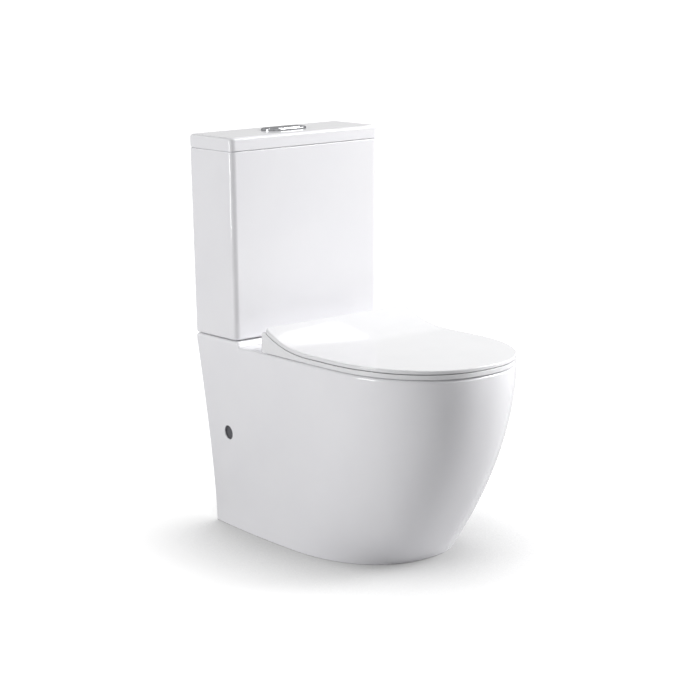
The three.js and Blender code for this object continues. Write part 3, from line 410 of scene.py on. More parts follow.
def both_sides(half):
    """A closed outline of [x, y] from one half: left side, front tip, right side."""
    left = [(-x, at(d)) for x, d in half]
    right = [(x, at(d)) for x, d in reversed(half[:-1])]
    return left + right


def pan_block():
    """The pan's outer skin as a closed block, with the step and a rounded rim."""
    distances = [0, 25, 50, 75, 98, 114, 124, 130]
    distances += [STEP_BACK / MM + i * 0.85 for i in range(-1, 12)]
    distances += [147, 153, 165, 185, 210, 235, 260, 290, 320, 350, 380, 407, 434]
    along = [d * MM / WAIST for d in distances]
    turns = [math.pi / 2 * i / 40 for i in range(1, 41)]
    half_count = len(along) + len(turns)
    tops = [rim_height(u * WAIST) for u in along] + [RIM] * len(turns)

    rings = []
    foot = [
        (FOOT_EDGE * (1 - math.cos(t)), FOOT_EDGE * (1 - math.sin(t)))
        for t in spread(0, math.pi / 2, 3)
    ]
    levels = [("foot", z, inset) for inset, z in reversed(foot)]
    levels += [("wall", share, 0) for share in spread(0, 1, 44)[1:]]
    levels += [("edge", turn, 0) for turn in spread(0, math.pi / 2, 6)[1:]]
    for kind, value, inset in levels:
        ring = []
        for i in range(half_count):
            top = tops[i] - EDGE
            if kind == "foot":
                z, shrink = value, inset
            elif kind == "wall":
                z, shrink = lerp(FOOT_EDGE, top, value), 0
            else:
                z, shrink = top + EDGE * math.sin(value), EDGE * (1 - math.cos(value))
            share = min(z, RIM) / RIM
            x, d = half_outline(share, shrink, along, turns)[i]
            ring.append((x, d, z))
        left = [(-x, at(d), z) for x, d, z in ring]
        right = [(x, at(d), z) for x, d, z in reversed(ring[:-1])]
        rings.append(left + right)

    count = len(rings[0])
    points = [p for ring in rings for p in ring]
    faces = []
    for level in range(len(rings) - 1):
        a = level * count
        for i in range(count - 1):
            faces.append((a + i, a + i + 1, a + count + i + 1, a + count + i))
    top = (len(rings) - 1) * count
    rows = [i for i, u in enumerate(along) if u * WAIST <= 166 * MM]
    across = 16
    grid = []
    for i in rows:
        left, right = points[top + i], points[top + count - 1 - i]
        row = [top + i]
        for j in range(1, across):
            row.append(len(points))
            points.append((lerp(left[0], right[0], j / across), left[1], left[2]))
        row.append(top + count - 1 - i)
        grid.append(row)
    for a, b in zip(grid, grid[1:]):
        for j in range(across):
            faces.append((a[j], b[j], b[j + 1], a[j + 1]))
    deck = grid[-1] + [top + i for i in range(count - 1 - rows[-1] - 1, rows[-1], -1)]
    faces.append(tuple(deck))
    left_side = [level * count for level in range(len(rings))]
    right_side = [level * count + count - 1 for level in range(len(rings) - 1, -1, -1)]
    faces.append(tuple(left_side + grid[0][1:-1] + right_side))
    faces.append(tuple(range(count)))
    return make("pan_china", points, faces)


def pan_hollow():
    """The empty space inside the skirt, open to the floor and to the wall."""
    top = RIM - DECK_THICK
    below = 10 * MM
    along = spread(0, 1, 16)
    turns = [math.pi / 2 * i / 24 for i in range(1, 25)]
    rings = []
    for z in [-below, *spread(0, top, 24)]:
        outline = both_sides(half_outline(max(z, 0) / RIM, CHINA, along, turns, -below))
        rings.append([(x, y, z) for x, y in outline])
    return loft("hollow", rings)


BOWL = {
    "half": (33 * MM, 138 * MM),
    "length": (37 * MM, 150 * MM),
    "middle": (440 * MM, 490 * MM),
    "floor": 20 * MM,
    "wall": 10 * MM,
    "lip": 8 * MM,
    "power": 2.2,
}
BOWL_LEVELS = [
    (0, 0),
    (0.05, 0.08),
    (0.2, 0.16),
    (0.36, 0.36),
    (0.55, 0.64),
    (0.73, 0.86),
    (0.88, 0.97),
    (1, 1),
]


def openness(up):
    """How far the bowl has opened at a share of its height, eased between the levels."""
    for i, ((a, b), (c, d)) in enumerate(zip(BOWL_LEVELS, BOWL_LEVELS[1:])):
        if up <= c:
            before = BOWL_LEVELS[max(i - 1, 0)]
            after = BOWL_LEVELS[min(i + 2, len(BOWL_LEVELS) - 1)]
            slope_a = (d - before[1]) / (c - before[0])
            slope_b = (after[1] - b) / (after[0] - a)
            t = (up - a) / (c - a)
            span = c - a
            return (
                (2 * t**3 - 3 * t**2 + 1) * b
                + (t**3 - 2 * t**2 + t) * span * slope_a
                + (3 * t**2 - 2 * t**3) * d
                + (t**3 - t**2) * span * slope_b
            )
    return 1.0


def oval(half, length, middle, power, z, count):
    ring = []
    for i in range(count):
        turn = 2 * math.pi * (i + 0.5) / count
        c, s = math.cos(turn), math.sin(turn)
        x = half * math.copysign(abs(c) ** (2 / power), c)
        y = at(middle) + length * math.copysign(abs(s) ** (2 / power), s)
        ring.append((x, y, z))
    return ring


def bowl_ring(up, z, grow, count):
    open_share = openness(up)
    return oval(
        lerp(*BOWL["half"], open_share) + grow,
        lerp(*BOWL["length"], open_share) + grow,
        lerp(*BOWL["middle"], open_share),
        BOWL["power"],
        z,
        count,
    )


def bowl_skin(name, grow, count):
    """The bowl as a solid. Grown, it is the outside of its wall; at no growth, the space inside."""
    low, high = BOWL["floor"], RIM - BOWL["lip"]
    rings = []
    for turn in spread(0, math.pi / 2, 6)[1:]:
        soft = 12 * MM * (1 - math.sin(turn))
        z = low - grow + 12 * MM * (1 - math.cos(turn))
        rings.append(bowl_ring(0, z, grow - soft, count))
    for up in spread(0.05, 1, 36):
        rings.append(bowl_ring(up, lerp(low, high, up), grow, count))
    if grow:
        rings.append(bowl_ring(1, RIM - 3 * MM, grow, count))
    else:
        for turn in spread(0, math.pi / 2, 8)[1:]:
            z = high + BOWL["lip"] * math.sin(turn)
            rings.append(bowl_ring(1, z, BOWL["lip"] * (1 - math.cos(turn)), count))
        rings.append(bowl_ring(1, RIM + 5 * MM, BOWL["lip"], count))
    return loft(name, rings)


TRAP = {"low": 56 * MM, "high": 180 * MM, "rise": 345 * MM, "bend": 62 * MM, "end": 55 * MM}


def trap_path(start, end):
    """The trapway's centre line as [distance, z]: level, up at 45 degrees, and level to the outlet."""
    low, high, rise = TRAP["low"], TRAP["high"], TRAP["rise"]
    reach = TRAP["bend"] * math.tan(math.pi / 8)
    across = high - low
    path = [(start, low)]
    for turn in spread(0, math.pi / 4, 10):
        along, off = TRAP["bend"] * math.sin(turn), TRAP["bend"] * (1 - math.cos(turn))
        path.append((rise + reach - along, low + off))
    for turn in spread(math.pi / 4, 0, 10):
        along, off = TRAP["bend"] * math.sin(turn), TRAP["bend"] * (1 - math.cos(turn))
        path.append((rise - across - reach + along, high - off))
    path.append((end, high))
    return path


def trap_tube(name, radius, start, end, count=40):
    path = [Vector((0, at(d), z)) for d, z in trap_path(start, end)]
    rings = []
    side = Vector((1, 0, 0))
    for i, point in enumerate(path):
        along = (path[min(i + 1, len(path) - 1)] - path[max(i - 1, 0)]).normalized()
        rings.append(round_ring(radius, point, side, side.cross(along), count))
    return loft(name, rings)


BOLT_BORE = 7 * MM  # radii of the holes in the deck and the sides
STUD_BORE = 7.5 * MM
INLET_BORE = 22 * MM
FLUSH_BORE = 33 * MM
SIDE_BORE = 15 * MM
SIDE_HOLE = (80 * MM, 210 * MM)  # the side holes, from the wall and from the floor


def build_pan():
    valve_y = (bezel_low.y + bezel_high.y) / 2
    under = RIM - DECK_THICK
    shelf_room = block(
        "shelf_room",
        (-REAR_HALF + CHINA, at(122 * MM), under - 2 * MM),
        (REAR_HALF - CHINA, at(-10 * MM), SHELF - DECK_THICK),
    )
    pan = pan_block()
    cut(pan, pan_hollow(), shelf_room)
    duct_back = WALL_Y - valve_y - 44 * MM
    duct_front = 346 * MM
    duct_low = under - 40 * MM
    join(
        pan,
        bowl_skin("bowl_outside", BOWL["wall"], 96),
        trap_tube("trap_outside", 46 * MM, BOWL["middle"][0], TRAP["end"]),
        block(
            "duct_outside",
            (-45 * MM, at(duct_front - 4 * MM), duct_low - 8 * MM),
            (45 * MM, at(duct_back - 8 * MM), under + 4 * MM),
        ),
        rod("inlet_outside", 56 * MM, (0, valve_y, under - 8 * MM), (0, valve_y, SHELF - 4 * MM)),
    )
    hinge_x = (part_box("hinge_stud_right")[0].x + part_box("hinge_stud_right")[1].x) / 2
    bolt_x = (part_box("coupling_bolt_right")[0].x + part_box("coupling_bolt_right")[1].x) / 2
    fill_low, fill_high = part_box("fill_valve_nut")
    fill_x = (fill_low.x + fill_high.x) / 2
    drills = [
        ((0, valve_y), FLUSH_BORE, under - 12 * MM),
        ((fill_x, valve_y), INLET_BORE, under - 5 * MM),
        ((bolt_x, valve_y), BOLT_BORE, under - 5 * MM),
        ((-bolt_x, valve_y), BOLT_BORE, under - 5 * MM),
        ((hinge_x, at(HINGE_AT)), STUD_BORE, under - 5 * MM),
        ((-hinge_x, at(HINGE_AT)), STUD_BORE, under - 5 * MM),
    ]
    cut(
        pan,
        bowl_skin("bowl_inside", 0, 128),
        trap_tube("trap_inside", 36 * MM, BOWL["middle"][0] - 6 * MM, TRAP["end"] - 10 * MM),
        block(
            "duct_inside",
            (-37 * MM, at(duct_front + 6 * MM), duct_low),
            (37 * MM, at(duct_back), under - 2 * MM),
        ),
        rod("recess", 48 * MM, (0, valve_y, SHELF - DECK_THICK), (0, valve_y, SHELF + 5 * MM)),
        *[
            rod(f"drill_{i}", radius, (x, y, low), (x, y, SHELF + 5 * MM), 32)
            for i, ((x, y), radius, low) in enumerate(drills)
        ],
    )
    for side in (-1, 1):
        spot = (at(SIDE_HOLE[0]), SIDE_HOLE[1])
        cut(pan, rod("side_hole", SIDE_BORE, (side * 100 * MM, *spot), (side * 200 * MM, *spot)))
    soften(pan, angle=40)
    finish_piece(pan, "china_and_valves", "china", "pan")


def build_side_plug(side):
    """A push-in plug with a thin lip just inside the mouth of the hole and a dished face. Its near black
    plastic is partly painted shade, standing for the shadow inside the side hole.
    """
    name = "side_plug_right" if side > 0 else "side_plug_left"
    low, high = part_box(name)
    centre = (low + high) / 2
    end = high.x if side > 0 else low.x
    inner = low.x if side > 0 else high.x
    lip, dish, radius = 1.6 * MM, 1.3 * MM, (high.z - low.z) / 2 - 0.9 * MM

    def disc(name, size, start, finish):
        return rod(name, size, (start, centre.y, centre.z), (finish, centre.y, centre.z), 64)

    plug = disc(f"{name}_cap", radius, inner, end)
    join(plug, disc("lip", radius + 0.6 * MM, end - side * lip, end))
    cut(plug, disc("dish", radius - 1.8 * MM, end - side * dish, end + side * 5 * MM))
    cut(plug, disc("back", radius - 2 * MM, inner - side * 5 * MM, end - side * (dish + 2 * MM)))
    soften(plug, 0.3 * MM, 40)
    # the near black grey plastic here is painted shade for the shadow inside the side hole
    finish_piece(plug, "china_and_valves", "grey_plastic", name)


# ---------------------------------------------------------------------------------------------
# Cistern and its lid
# ---------------------------------------------------------------------------------------------


def wall_box(half, depth, radius, inset=0.0, back=0.0, rear_radius=2 * MM, steps=10):
    """A rectangle against the wall as [x, y], its front corners round and its back ones nearly square."""
    w = half - inset
    front, rear = at(depth - inset), at(back)
    big = max(radius - inset, 0.5 * MM)
    small = min(rear_radius, big)
    corners = [
        (-w + big, front + big, big, math.pi),
        (w - big, front + big, big, 1.5 * math.pi),
        (w - small, rear - small, small, 0),
        (-w + small, rear - small, small, 0.5 * math.pi),
    ]
    return [
        (x + r * math.cos(start + turn), y + r * math.sin(start + turn))
        for x, y, r, start in corners
        for turn in spread(0, math.pi / 2, steps)
    ]


TANK_HALF = (188 * MM, tank_high.x)  # bottom, top
TANK_DEPTH = (136.5 * MM, WALL_Y - tank_low.y)
TANK_CORNER = 12 * MM
TANK_WALL = 10 * MM
TANK_FLOOR = 12 * MM
LID_REAR_CORNER = 5 * MM


def tank_ring(z, inset=0.0, back=0.0):
    share = (z - tank_low.z) / (tank_high.z - tank_low.z)
    outline = wall_box(lerp(*TANK_HALF, share), lerp(*TANK_DEPTH, share), TANK_CORNER, inset, back)
    return [(x, y, z) for x, y in outline]


def build_tank():
    edge = 5 * MM
    bottom, top = tank_low.z, tank_high.z
    rings = [
        tank_ring(bottom + edge * (1 - math.cos(turn)), edge * (1 - math.sin(turn)))
        for turn in spread(0, math.pi / 2, 6)
    ]
    rings += [tank_ring(z) for z in spread(bottom + edge, top - 2 * MM, 12)[1:]]
    rings += [
        tank_ring(top - 2 * MM * (1 - math.sin(turn)), 2 * MM * (1 - math.cos(turn)))
        for turn in spread(0, math.pi / 2, 3)[1:]
    ]
    tank = loft("cistern_china", rings)
    inside = [
        tank_ring(
            bottom + TANK_FLOOR + 8 * MM * (1 - math.cos(turn)),
            TANK_WALL + 8 * MM * (1 - math.sin(turn)),
            TANK_WALL + 8 * MM * (1 - math.sin(turn)),
        )
        for turn in spread(0, math.pi / 2, 5)
    ]
    inside.append(tank_ring(top + 5 * MM, TANK_WALL, TANK_WALL))
    cut(tank, loft("tank_inside", inside))
    valve_y = (bezel_low.y + bezel_high.y) / 2
    bolt_x = (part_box("coupling_bolt_right")[0].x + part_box("coupling_bolt_right")[1].x) / 2
    fill_x = (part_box("fill_valve_nut")[0].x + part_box("fill_valve_nut")[1].x) / 2
    for x, radius in ((0, 31 * MM), (fill_x, 11 * MM), (bolt_x, 6 * MM), (-bolt_x, 6 * MM)):
        cut(tank, rod("drill", radius, (x, valve_y, bottom - 5 * MM), (x, valve_y, bottom + 30 * MM)))
    soften(tank, angle=40)
    finish_piece(tank, "china_and_valves", "china", "cistern_tank")


def slot_outline(length, width, steps=20):
    """A slot with round ends, centred on the flush button, as [x, y]."""
    r = width / 2
    reach = length / 2 - r
    x0, y0 = (bezel_low.x + bezel_high.x) / 2, (bezel_low.y + bezel_high.y) / 2
    right = spread(-math.pi / 2, math.pi / 2, steps)
    left = spread(math.pi / 2, 1.5 * math.pi, steps)
    return [
        (middle + r * math.cos(turn), y0 + r * math.sin(turn))
        for middle, turns in ((x0 + reach, right), (x0 - reach, left))
        for turn in turns
    ]


def lift(outline, z):
    return [(x, y, z) for x, y in outline]


def build_lid():
    half, depth = lid_high.x, WALL_Y - lid_low.y
    bottom = tank_high.z + 0.3 * MM
    top = lid_high.z
    plate, wall = 11 * MM, 12 * MM
    edge, under, gap, ledge = 6 * MM, 0.8 * MM, 1.1 * MM, 3.5 * MM

    def ring(z, inset, back=0.0):
        return lift(wall_box(half, depth, TANK_CORNER, inset, back, LID_REAR_CORNER), z)

    rings = [ring(bottom, ledge), ring(bottom + gap, ledge)]
    rings += [
        ring(bottom + gap + under * (1 - math.cos(turn)), under * (1 - math.sin(turn)))
        for turn in spread(0, math.pi / 2, 4)
    ]
    rings += [
        ring(
            top - edge * (1 - math.sin(turn)),
            edge * (1 - math.cos(turn)),
            edge * (1 - math.cos(turn)) * 0.7,
        )
        for turn in spread(0, math.pi / 2, 8)
    ]
    lid = loft("cistern_lid_china", rings)
    inside = [ring(bottom - 5 * MM, wall, wall)]
    inside += [
        ring(top - plate - 6 * MM * (1 - math.sin(turn)), wall + 6 * MM * (1 - math.cos(turn)),
             wall + 6 * MM * (1 - math.cos(turn)))
        for turn in spread(0, math.pi / 2, 4)
    ]
    cut(lid, loft("lid_inside", inside))
    lip_in = TANK_WALL + 2 * MM

    def lip_ring(z, inset):
        return lift(wall_box(TANK_HALF[1], TANK_DEPTH[1], TANK_CORNER, inset, inset), z)

    lip = loft("lip", [lip_ring(bottom - 8.3 * MM, lip_in), lip_ring(top - plate + 1 * MM, lip_in)])
    core = [lip_ring(bottom - 12 * MM, lip_in + 5 * MM), lip_ring(top - plate + 0.5 * MM, lip_in + 5 * MM)]
    cut(lip, loft("lip_core", core))
    join(lid, lip)
    length, width = bezel_high.x - bezel_low.x - 8 * MM, bezel_high.y - bezel_low.y - 8 * MM
    slot = slot_outline(length, width)
    cut(lid, loft("slot", [lift(slot, top - 30 * MM), lift(slot, top + 5 * MM)]))
    soften(lid, angle=40)
    finish_piece(lid, "cistern_lid", "china", "cistern_lid")


# ---------------------------------------------------------------------------------------------
# Seat
# ---------------------------------------------------------------------------------------------


def wing(distance):
    """How far the seat's back sweeps up, at a distance from the wall."""
    share = max(WING_START - distance, 0) / (WING_START - HINGE_AT)
    return WING_RISE * share**WING_POWER


def seat_half_width(distance, back, inset=0.0):
    """The seat's half width at a distance from the wall."""
    half = SEAT_HALF - inset
    rear = SEAT_REAR_HALF - inset
    corner = 7 * MM
    if distance >= WAIST:
        share = min((distance - WAIST) / (LENGTH - inset - WAIST), 1.0)
        return half * max(1 - share**FRONT_POWER, 0.0) ** (1 / FRONT_POWER)
    u = (distance - back) / (WAIST - back)
    width = half - (half - rear) * (1 - u) ** 2
    if distance < back + corner:
        width -= corner - math.sqrt(max(corner**2 - (back + corner - distance) ** 2, 0))
    return width


def leaf(name, back, low, high, edge, under, extra=()):
    """A leaf with the seat's outline. low and high give its underside and top at a distance from the
    wall. Its outer edge is rounded by edge above and by under below."""
    corner = [back + 7 * MM * (1 - math.cos(t)) for t in spread(0, math.pi / 2, 6)]
    rows = corner + [d for d in extra if d > corner[-1]]
    rows += spread(max(rows), WAIST, 40)[1:]
    rows += [WAIST + (LENGTH - WAIST) * math.sin(t) for t in spread(0, math.pi / 2, 44)[1:]]
    rows = sorted(set(round(d, 7) for d in rows))
    profile = [(edge * (1 - math.cos(t)), edge * (1 - math.sin(t)), 1) for t in spread(math.pi / 2, 0, 5)]
    profile += [(under * (1 - math.cos(t)), under * (1 - math.sin(t)), 0) for t in spread(0, math.pi / 2, 3)]
    left_right = []
    for side in (-1, 1):
        columns = []
        for d in rows:
            column = []
            for inset, drop, upper in profile:
                if d > WAIST:
                    share = (d - WAIST) / (LENGTH - WAIST)
                    here = WAIST + (LENGTH - inset - WAIST) * share
                else:
                    here = lerp(back + inset, WAIST, (d - back) / (WAIST - back))
                x = seat_half_width_at(d, back, inset)
                z = high(d) - drop if upper else low(d) + drop
                column.append((side * x, at(here), z))
            columns.append(column)
        left_right.append(columns)
    left, right = left_right
    count = len(profile)
    points, faces = [], []
    index = {}

    def point(p):
        key = tuple(round(c, 7) for c in p)
        if key not in index:
            index[key] = len(points)
            points.append(p)
        return index[key]

    def quad(*corners):
        ids = []
        for corner_point in corners:
            i = point(corner_point)
            if i not in ids:
                ids.append(i)
        if len(ids) > 2:
            faces.append(tuple(ids))

    across = 12
    for i in range(len(rows) - 1):
        for j in range(count - 1):
            quad(left[i][j], left[i][j + 1], left[i + 1][j + 1], left[i + 1][j])
            quad(right[i][j], right[i + 1][j], right[i + 1][j + 1], right[i][j + 1])
        for j in (0, count - 1):
            for k in range(across):
                spans = []
                for row in (i, i + 1):
                    a, b = left[row][j], right[row][j]
                    spans.append([tuple(lerp(p, q, t / across) for p, q in zip(a, b)) for t in (k, k + 1)])
                quad(spans[0][0], spans[0][1], spans[1][1], spans[1][0])
    for j in range(count - 1):
        for k in range(across):
            corners = []
            for jj in (j, j + 1):
                a, b = left[0][jj], right[0][jj]
                corners.append([tuple(lerp(p, q, t / across) for p, q in zip(a, b)) for t in (k, k + 1)])
            quad(corners[0][0], corners[0][1], corners[1][1], corners[1][0])
    return make(name, points, faces)


def seat_half_width_at(distance, back, inset):
    """The half width of a row, taken in by an inset all round."""
    full = seat_half_width(distance, back)
    if distance <= WAIST:
        return full - inset
    return full * (SEAT_HALF - inset) / SEAT_HALF


LUG_TO = POST_X - 12 * MM  # the cover's lugs, inside the posts
LUG_FROM = LUG_TO - 11 * MM
POST_SIDE = POST_X + 12.5 * MM  # where the ring's knuckle starts, outside them
BORE_DEPTH = 14.5 * MM


def pocket(bumper, radius, below):
    """The space a bumper's stem takes in the leaf above it, open downwards."""
    low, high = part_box(bumper)
    centre = (low + high) / 2
    return rod(
        "pocket",
        radius,
        (centre.x, centre.y, low.z - below),
        (centre.x, centre.y, high.z + 0.3 * MM),
        32,
    )


def build_cover():
    def high(d):
        return SEAT_TOP + wing(d)

    def low(d):
        slope = (wing(d - 0.5 * MM) - wing(d + 0.5 * MM)) / MM
        return SEAT_TOP + wing(d) - SEAT_THICK * math.hypot(1, slope)

    cover = leaf("seat_cover_leaf", HINGE_AT, low, high, 2.2 * MM, 0.8 * MM)
    hinge_y = at(HINGE_AT)
    for side in (-1, 1):
        x0, x1 = sorted((side * LUG_FROM, side * LUG_TO))
        lug = rod("lug", 10 * MM, (x0, hinge_y, HINGE_Z), (x1, hinge_y, HINGE_Z))
        neck = block("neck", (x0, hinge_y - 7 * MM, HINGE_Z), (x1, hinge_y - 0.2 * MM, HINGE_Z + 20 * MM))
        join(lug, neck)
        join(cover, lug)
        ends = (x0 - 2 * MM, hinge_y, HINGE_Z), (x1 + 2 * MM, hinge_y, HINGE_Z)
        cut(cover, rod("pin", HINGE_BORE, *ends, 32))
        cut(cover, pocket(f"cover_bumper_{'left' if side < 0 else 'right'}", 6.3 * MM, 9 * MM))
    soften(cover, angle=40)
    finish_piece(cover, "seat_cover", "seat_plastic", "seat_cover")


# The ring's opening, and its edge as the millimetres above the ring's underside and beyond the opening.
OPENING = {
    "half": 115 * MM,
    "length": 140 * MM,
    "middle": 485 * MM,
    "edge": [
        (-5, 8),
        (0, 3),
        (0.8, 1.4),
        (3, 0),
        (6, 0),
        (7.5, 1.2),
        (8.8, 3.6),
        (9.5, 7),
        (12, 9),
        (60, 9),
    ],
}


def build_ring():
    knuckle = 15.6 * MM
    swing = 27.5 * MM
    rear = HINGE_AT - knuckle
    drop = SEAT_THICK + SEAT_JOINT

    def high(d):
        if d < HINGE_AT:
            return HINGE_Z + math.sqrt(max(knuckle**2 - (HINGE_AT - d) ** 2, 0))
        slope = (wing(d - 0.5 * MM) - wing(d + 0.5 * MM)) / MM
        return min(SEAT_TOP + wing(d) - drop * math.hypot(1, slope), HINGE_Z + knuckle)

    def low(d):
        if d < HINGE_AT:
            return max(HINGE_Z - math.sqrt(swing**2 - (HINGE_AT - d) ** 2), RING_BOTTOM)
        return RING_BOTTOM

    extra = [rear + 1.1 * MM * i for i in range(1, 26)]
    ring = leaf("seat_ring_leaf", rear, low, high, 0.8 * MM, 1 * MM, extra)
    opening = [
        oval(
            OPENING["half"] + grow * MM,
            OPENING["length"] + grow * MM,
            OPENING["middle"],
            BOWL["power"],
            RING_BOTTOM + up * MM,
            128,
        )
        for up, grow in OPENING["edge"]
    ]
    cut(ring, loft("opening", opening))
    hinge_y = at(HINGE_AT)
    for side in (-1, 1):
        x0, x1 = sorted((side * (LUG_FROM - 1.5 * MM), side * POST_SIDE))
        gap_low, gap_high = (x0, hinge_y - 22.5 * MM, RIM - 5 * MM), (x1, hinge_y + 60 * MM, RIM + 100 * MM)
        cut(ring, block("gap", gap_low, gap_high))
        start, end = side * (POST_SIDE - 1 * MM), side * (POST_SIDE + BORE_DEPTH)
        ends = (start, hinge_y, HINGE_Z), (end, hinge_y, HINGE_Z)
        cut(ring, rod("bore", HINGE_BORE, *ends, 32))
    for name in ("front_left", "front_right", "rear_left", "rear_right"):
        cut(ring, pocket(f"ring_bumper_{name}", 8.3 * MM, 5 * MM))
    soften(ring, angle=40)
    finish_piece(ring, "seat_ring", "seat_plastic", "seat_ring")


# ---------------------------------------------------------------------------------------------
# Flush button
# ---------------------------------------------------------------------------------------------


def build_button():
    length, width = bezel_high.x - bezel_low.x, bezel_high.y - bezel_low.y
    rim = 8 * MM
    clear = 1 * MM
    base, top = lid_high.z + 0.3 * MM, bezel_high.z
    outer = [
        lift(slot_outline(length - 2 * inset, width - 2 * inset), z)
        for inset, z in [(0, base), (0, top - 2 * MM)]
        + [
            (2 * MM * (1 - math.cos(t)), top - 2 * MM * (1 - math.sin(t)))
            for t in spread(0, math.pi / 2, 5)[1:]
        ]
    ]
    bezel = loft("button_bezel_ring", outer)
    sleeve = [lift(slot_outline(length - 10 * MM, width - 10 * MM), z) for z in (bezel_low.z, base + 1 * MM)]
    join(bezel, loft("sleeve", sleeve))
    hole = [(0, bezel_low.z + 3 * MM), (0, top - 1.2 * MM)]
    hole += [
        (1.2 * MM * (1 - math.cos(t)), top - 1.2 * MM * (1 - math.sin(t)))
        for t in spread(0, math.pi / 2, 4)[1:]
    ]
    hole += [(1.2 * MM, top + 4 * MM)]
    inner = [lift(slot_outline(length - 2 * rim + 2 * g, width - 2 * rim + 2 * g), z) for g, z in hole]
    cut(bezel, loft("hole", inner))
    y0 = (bezel_low.y + bezel_high.y) / 2
    for name in ("half", "full"):
        low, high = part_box(f"{name}_flush_rod")
        x = (low.x + high.x) / 2
        ends = (x, y0, bezel_low.z - 5 * MM), (x, y0, bezel_low.z + 8 * MM)
        cut(bezel, rod("rod_hole", 4.5 * MM, *ends, 32))
    soften(bezel, angle=40)
    finish_piece(bezel, "cistern_lid", "chrome", "button_bezel")

    for name in ("half", "full"):
        low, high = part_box(f"{name}_flush_button")
        rows = [(0.8 * MM, low.z), (0, low.z + 0.8 * MM), (0, high.z - 1.4 * MM)]
        rows += [
            (1.4 * MM * (1 - math.cos(t)), high.z - 1.4 * MM * (1 - math.sin(t)))
            for t in spread(0, math.pi / 2, 4)[1:]
        ]
        shells = [
            lift(slot_outline(length - 2 * rim - clear - 2 * i, width - 2 * rim - clear - 2 * i), z)
            for i, z in rows
        ]
        key = loft(f"{name}_key", shells)
        x0, x1 = (high.x, high.x + 0.3) if name == "half" else (low.x - 0.3, low.x)
        rest = block("rest", (x0, low.y - 0.1, low.z - 0.1), (x1, high.y + 0.1, high.z + 0.1))
        cut(key, rest)
        soften(key, 0.35 * MM, 60)
        finish_piece(key, f"{name}_flush_key", "chrome", f"{name}_flush_button")


# ---------------------------------------------------------------------------------------------
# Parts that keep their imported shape
# ---------------------------------------------------------------------------------------------


def dress_nodes():
    slots = {entry["node"]: entry["material_slot"] for entry in frame["record"]["subparts"]}
    remade = {"pan", "cistern_tank", "cistern_lid", "seat_cover", "seat_ring", "button_bezel"}
    remade |= {"half_flush_button", "full_flush_button", "side_plug_left", "side_plug_right"}
    for name, node in nodes.items():
        if name in remade:
            continue
        node.data.materials.clear()
        node.data.materials.append(LOOKS[slots[name]])
        for face in node.data.polygons:
            face.use_smooth = True
        node.data.set_sharp_from_angle(angle=math.radians(32))
        bevel = node.modifiers.new("edges", "BEVEL")
        bevel.width = 0.4 * MM
        bevel.segments = 2
        bevel.limit_method = "ANGLE"
        bevel.angle_limit = math.radians(50)
        normals = node.modifiers.new("normals", "WEIGHTED_NORMAL")
        normals.keep_sharp = True


# ---------------------------------------------------------------------------------------------
# Stage, lights and camera
# ---------------------------------------------------------------------------------------------


FLOOR_LIFT = 1.0  # added to what the camera sees of the floor near the object
FLOOR_SEEN = 0.5  # the share of the floor's own colour that the camera sees
CONTACT_REACH = 350 * MM  # how far round the object its contact shadow shows
CONTACT_POWER = 1.6  # how fast it darkens
CONTACT_LOW = 0.22  # and how far
ROOM_FILL = 0.165  # the room's radiance as a light
ROOM_LOW = 0.65  # and in reflections, at the horizon and well above it
ROOM_HIGH = 1.0


def build_stage():
    """A pale floor that photographs white. What the camera sees of it is lifted to white, so that only
    the contact shadow shows, and it throws back no more light than a pale grey floor."""
    size = 30.0
    mesh = bpy.data.meshes.new("floor")
    corners = [(-size, -size, 0), (size, -size, 0), (size, size, 0), (-size, size, 0)]
    mesh.from_pydata(corners, [], [(0, 1, 2, 3)])
    floor = bpy.data.objects.new("floor", mesh)
    scene.collection.objects.link(floor)
    paint = Paint("studio_floor")
    paint.colour(paint.noise(2), (0.52, 0.52, 0.525), (0.54, 0.54, 0.545))
    paint.roughness(paint.noise(5), 0.85, 0.9)
    path = paint.tree.nodes.new("ShaderNodeLightPath")
    away = paint.tree.nodes.new("ShaderNodeVectorMath")
    away.operation = "LENGTH"
    paint.tree.links.new(paint.place, away.inputs[0])
    lifted = paint.tree.nodes.new("ShaderNodeMapRange")
    lifted.interpolation_type = "SMOOTHSTEP"
    for socket, value in (("From Min", 0.5), ("From Max", 1.8), ("To Min", FLOOR_LIFT), ("To Max", 1.1)):
        lifted.inputs[socket].default_value = value
    paint.tree.links.new(away.outputs["Value"], lifted.inputs["Value"])
    contact = paint.tree.nodes.new("ShaderNodeAmbientOcclusion")
    contact.inputs["Distance"].default_value = CONTACT_REACH
    contact.samples = 8

    def combined(operation, a, b):
        node = paint.tree.nodes.new("ShaderNodeMath")
        node.operation = operation
        for socket, value in zip(node.inputs, (a, b)):
            if isinstance(value, float):
                socket.default_value = value
            else:
                paint.tree.links.new(value, socket)
        return node.outputs["Value"]

    eased = combined("POWER", contact.outputs["AO"], CONTACT_POWER)
    open_share = combined("MAXIMUM", eased, CONTACT_LOW)
    shaded = combined("MULTIPLY", lifted.outputs["Result"], open_share)
    seen = combined("MULTIPLY", path.outputs["Is Camera Ray"], shaded)
    dimmed = paint.tree.nodes.new("ShaderNodeMix")
    dimmed.data_type = "RGBA"
    dimmed.blend_type = "MULTIPLY"
    dimmed.inputs["B"].default_value = (FLOOR_SEEN, FLOOR_SEEN, FLOOR_SEEN, 1)
    paint.tree.links.new(path.outputs["Is Camera Ray"], dimmed.inputs["Factor"])
    own_colour = paint.shader.inputs["Base Color"].links[0].from_socket
    paint.tree.links.new(own_colour, dimmed.inputs["A"])
    paint.tree.links.new(dimmed.outputs["Result"], paint.shader.inputs["Base Color"])
    paint.shader.inputs["Emission Color"].default_value = (1, 1, 1, 1)
    paint.tree.links.new(seen, paint.shader.inputs["Emission Strength"])
    mesh.materials.append(paint.material)


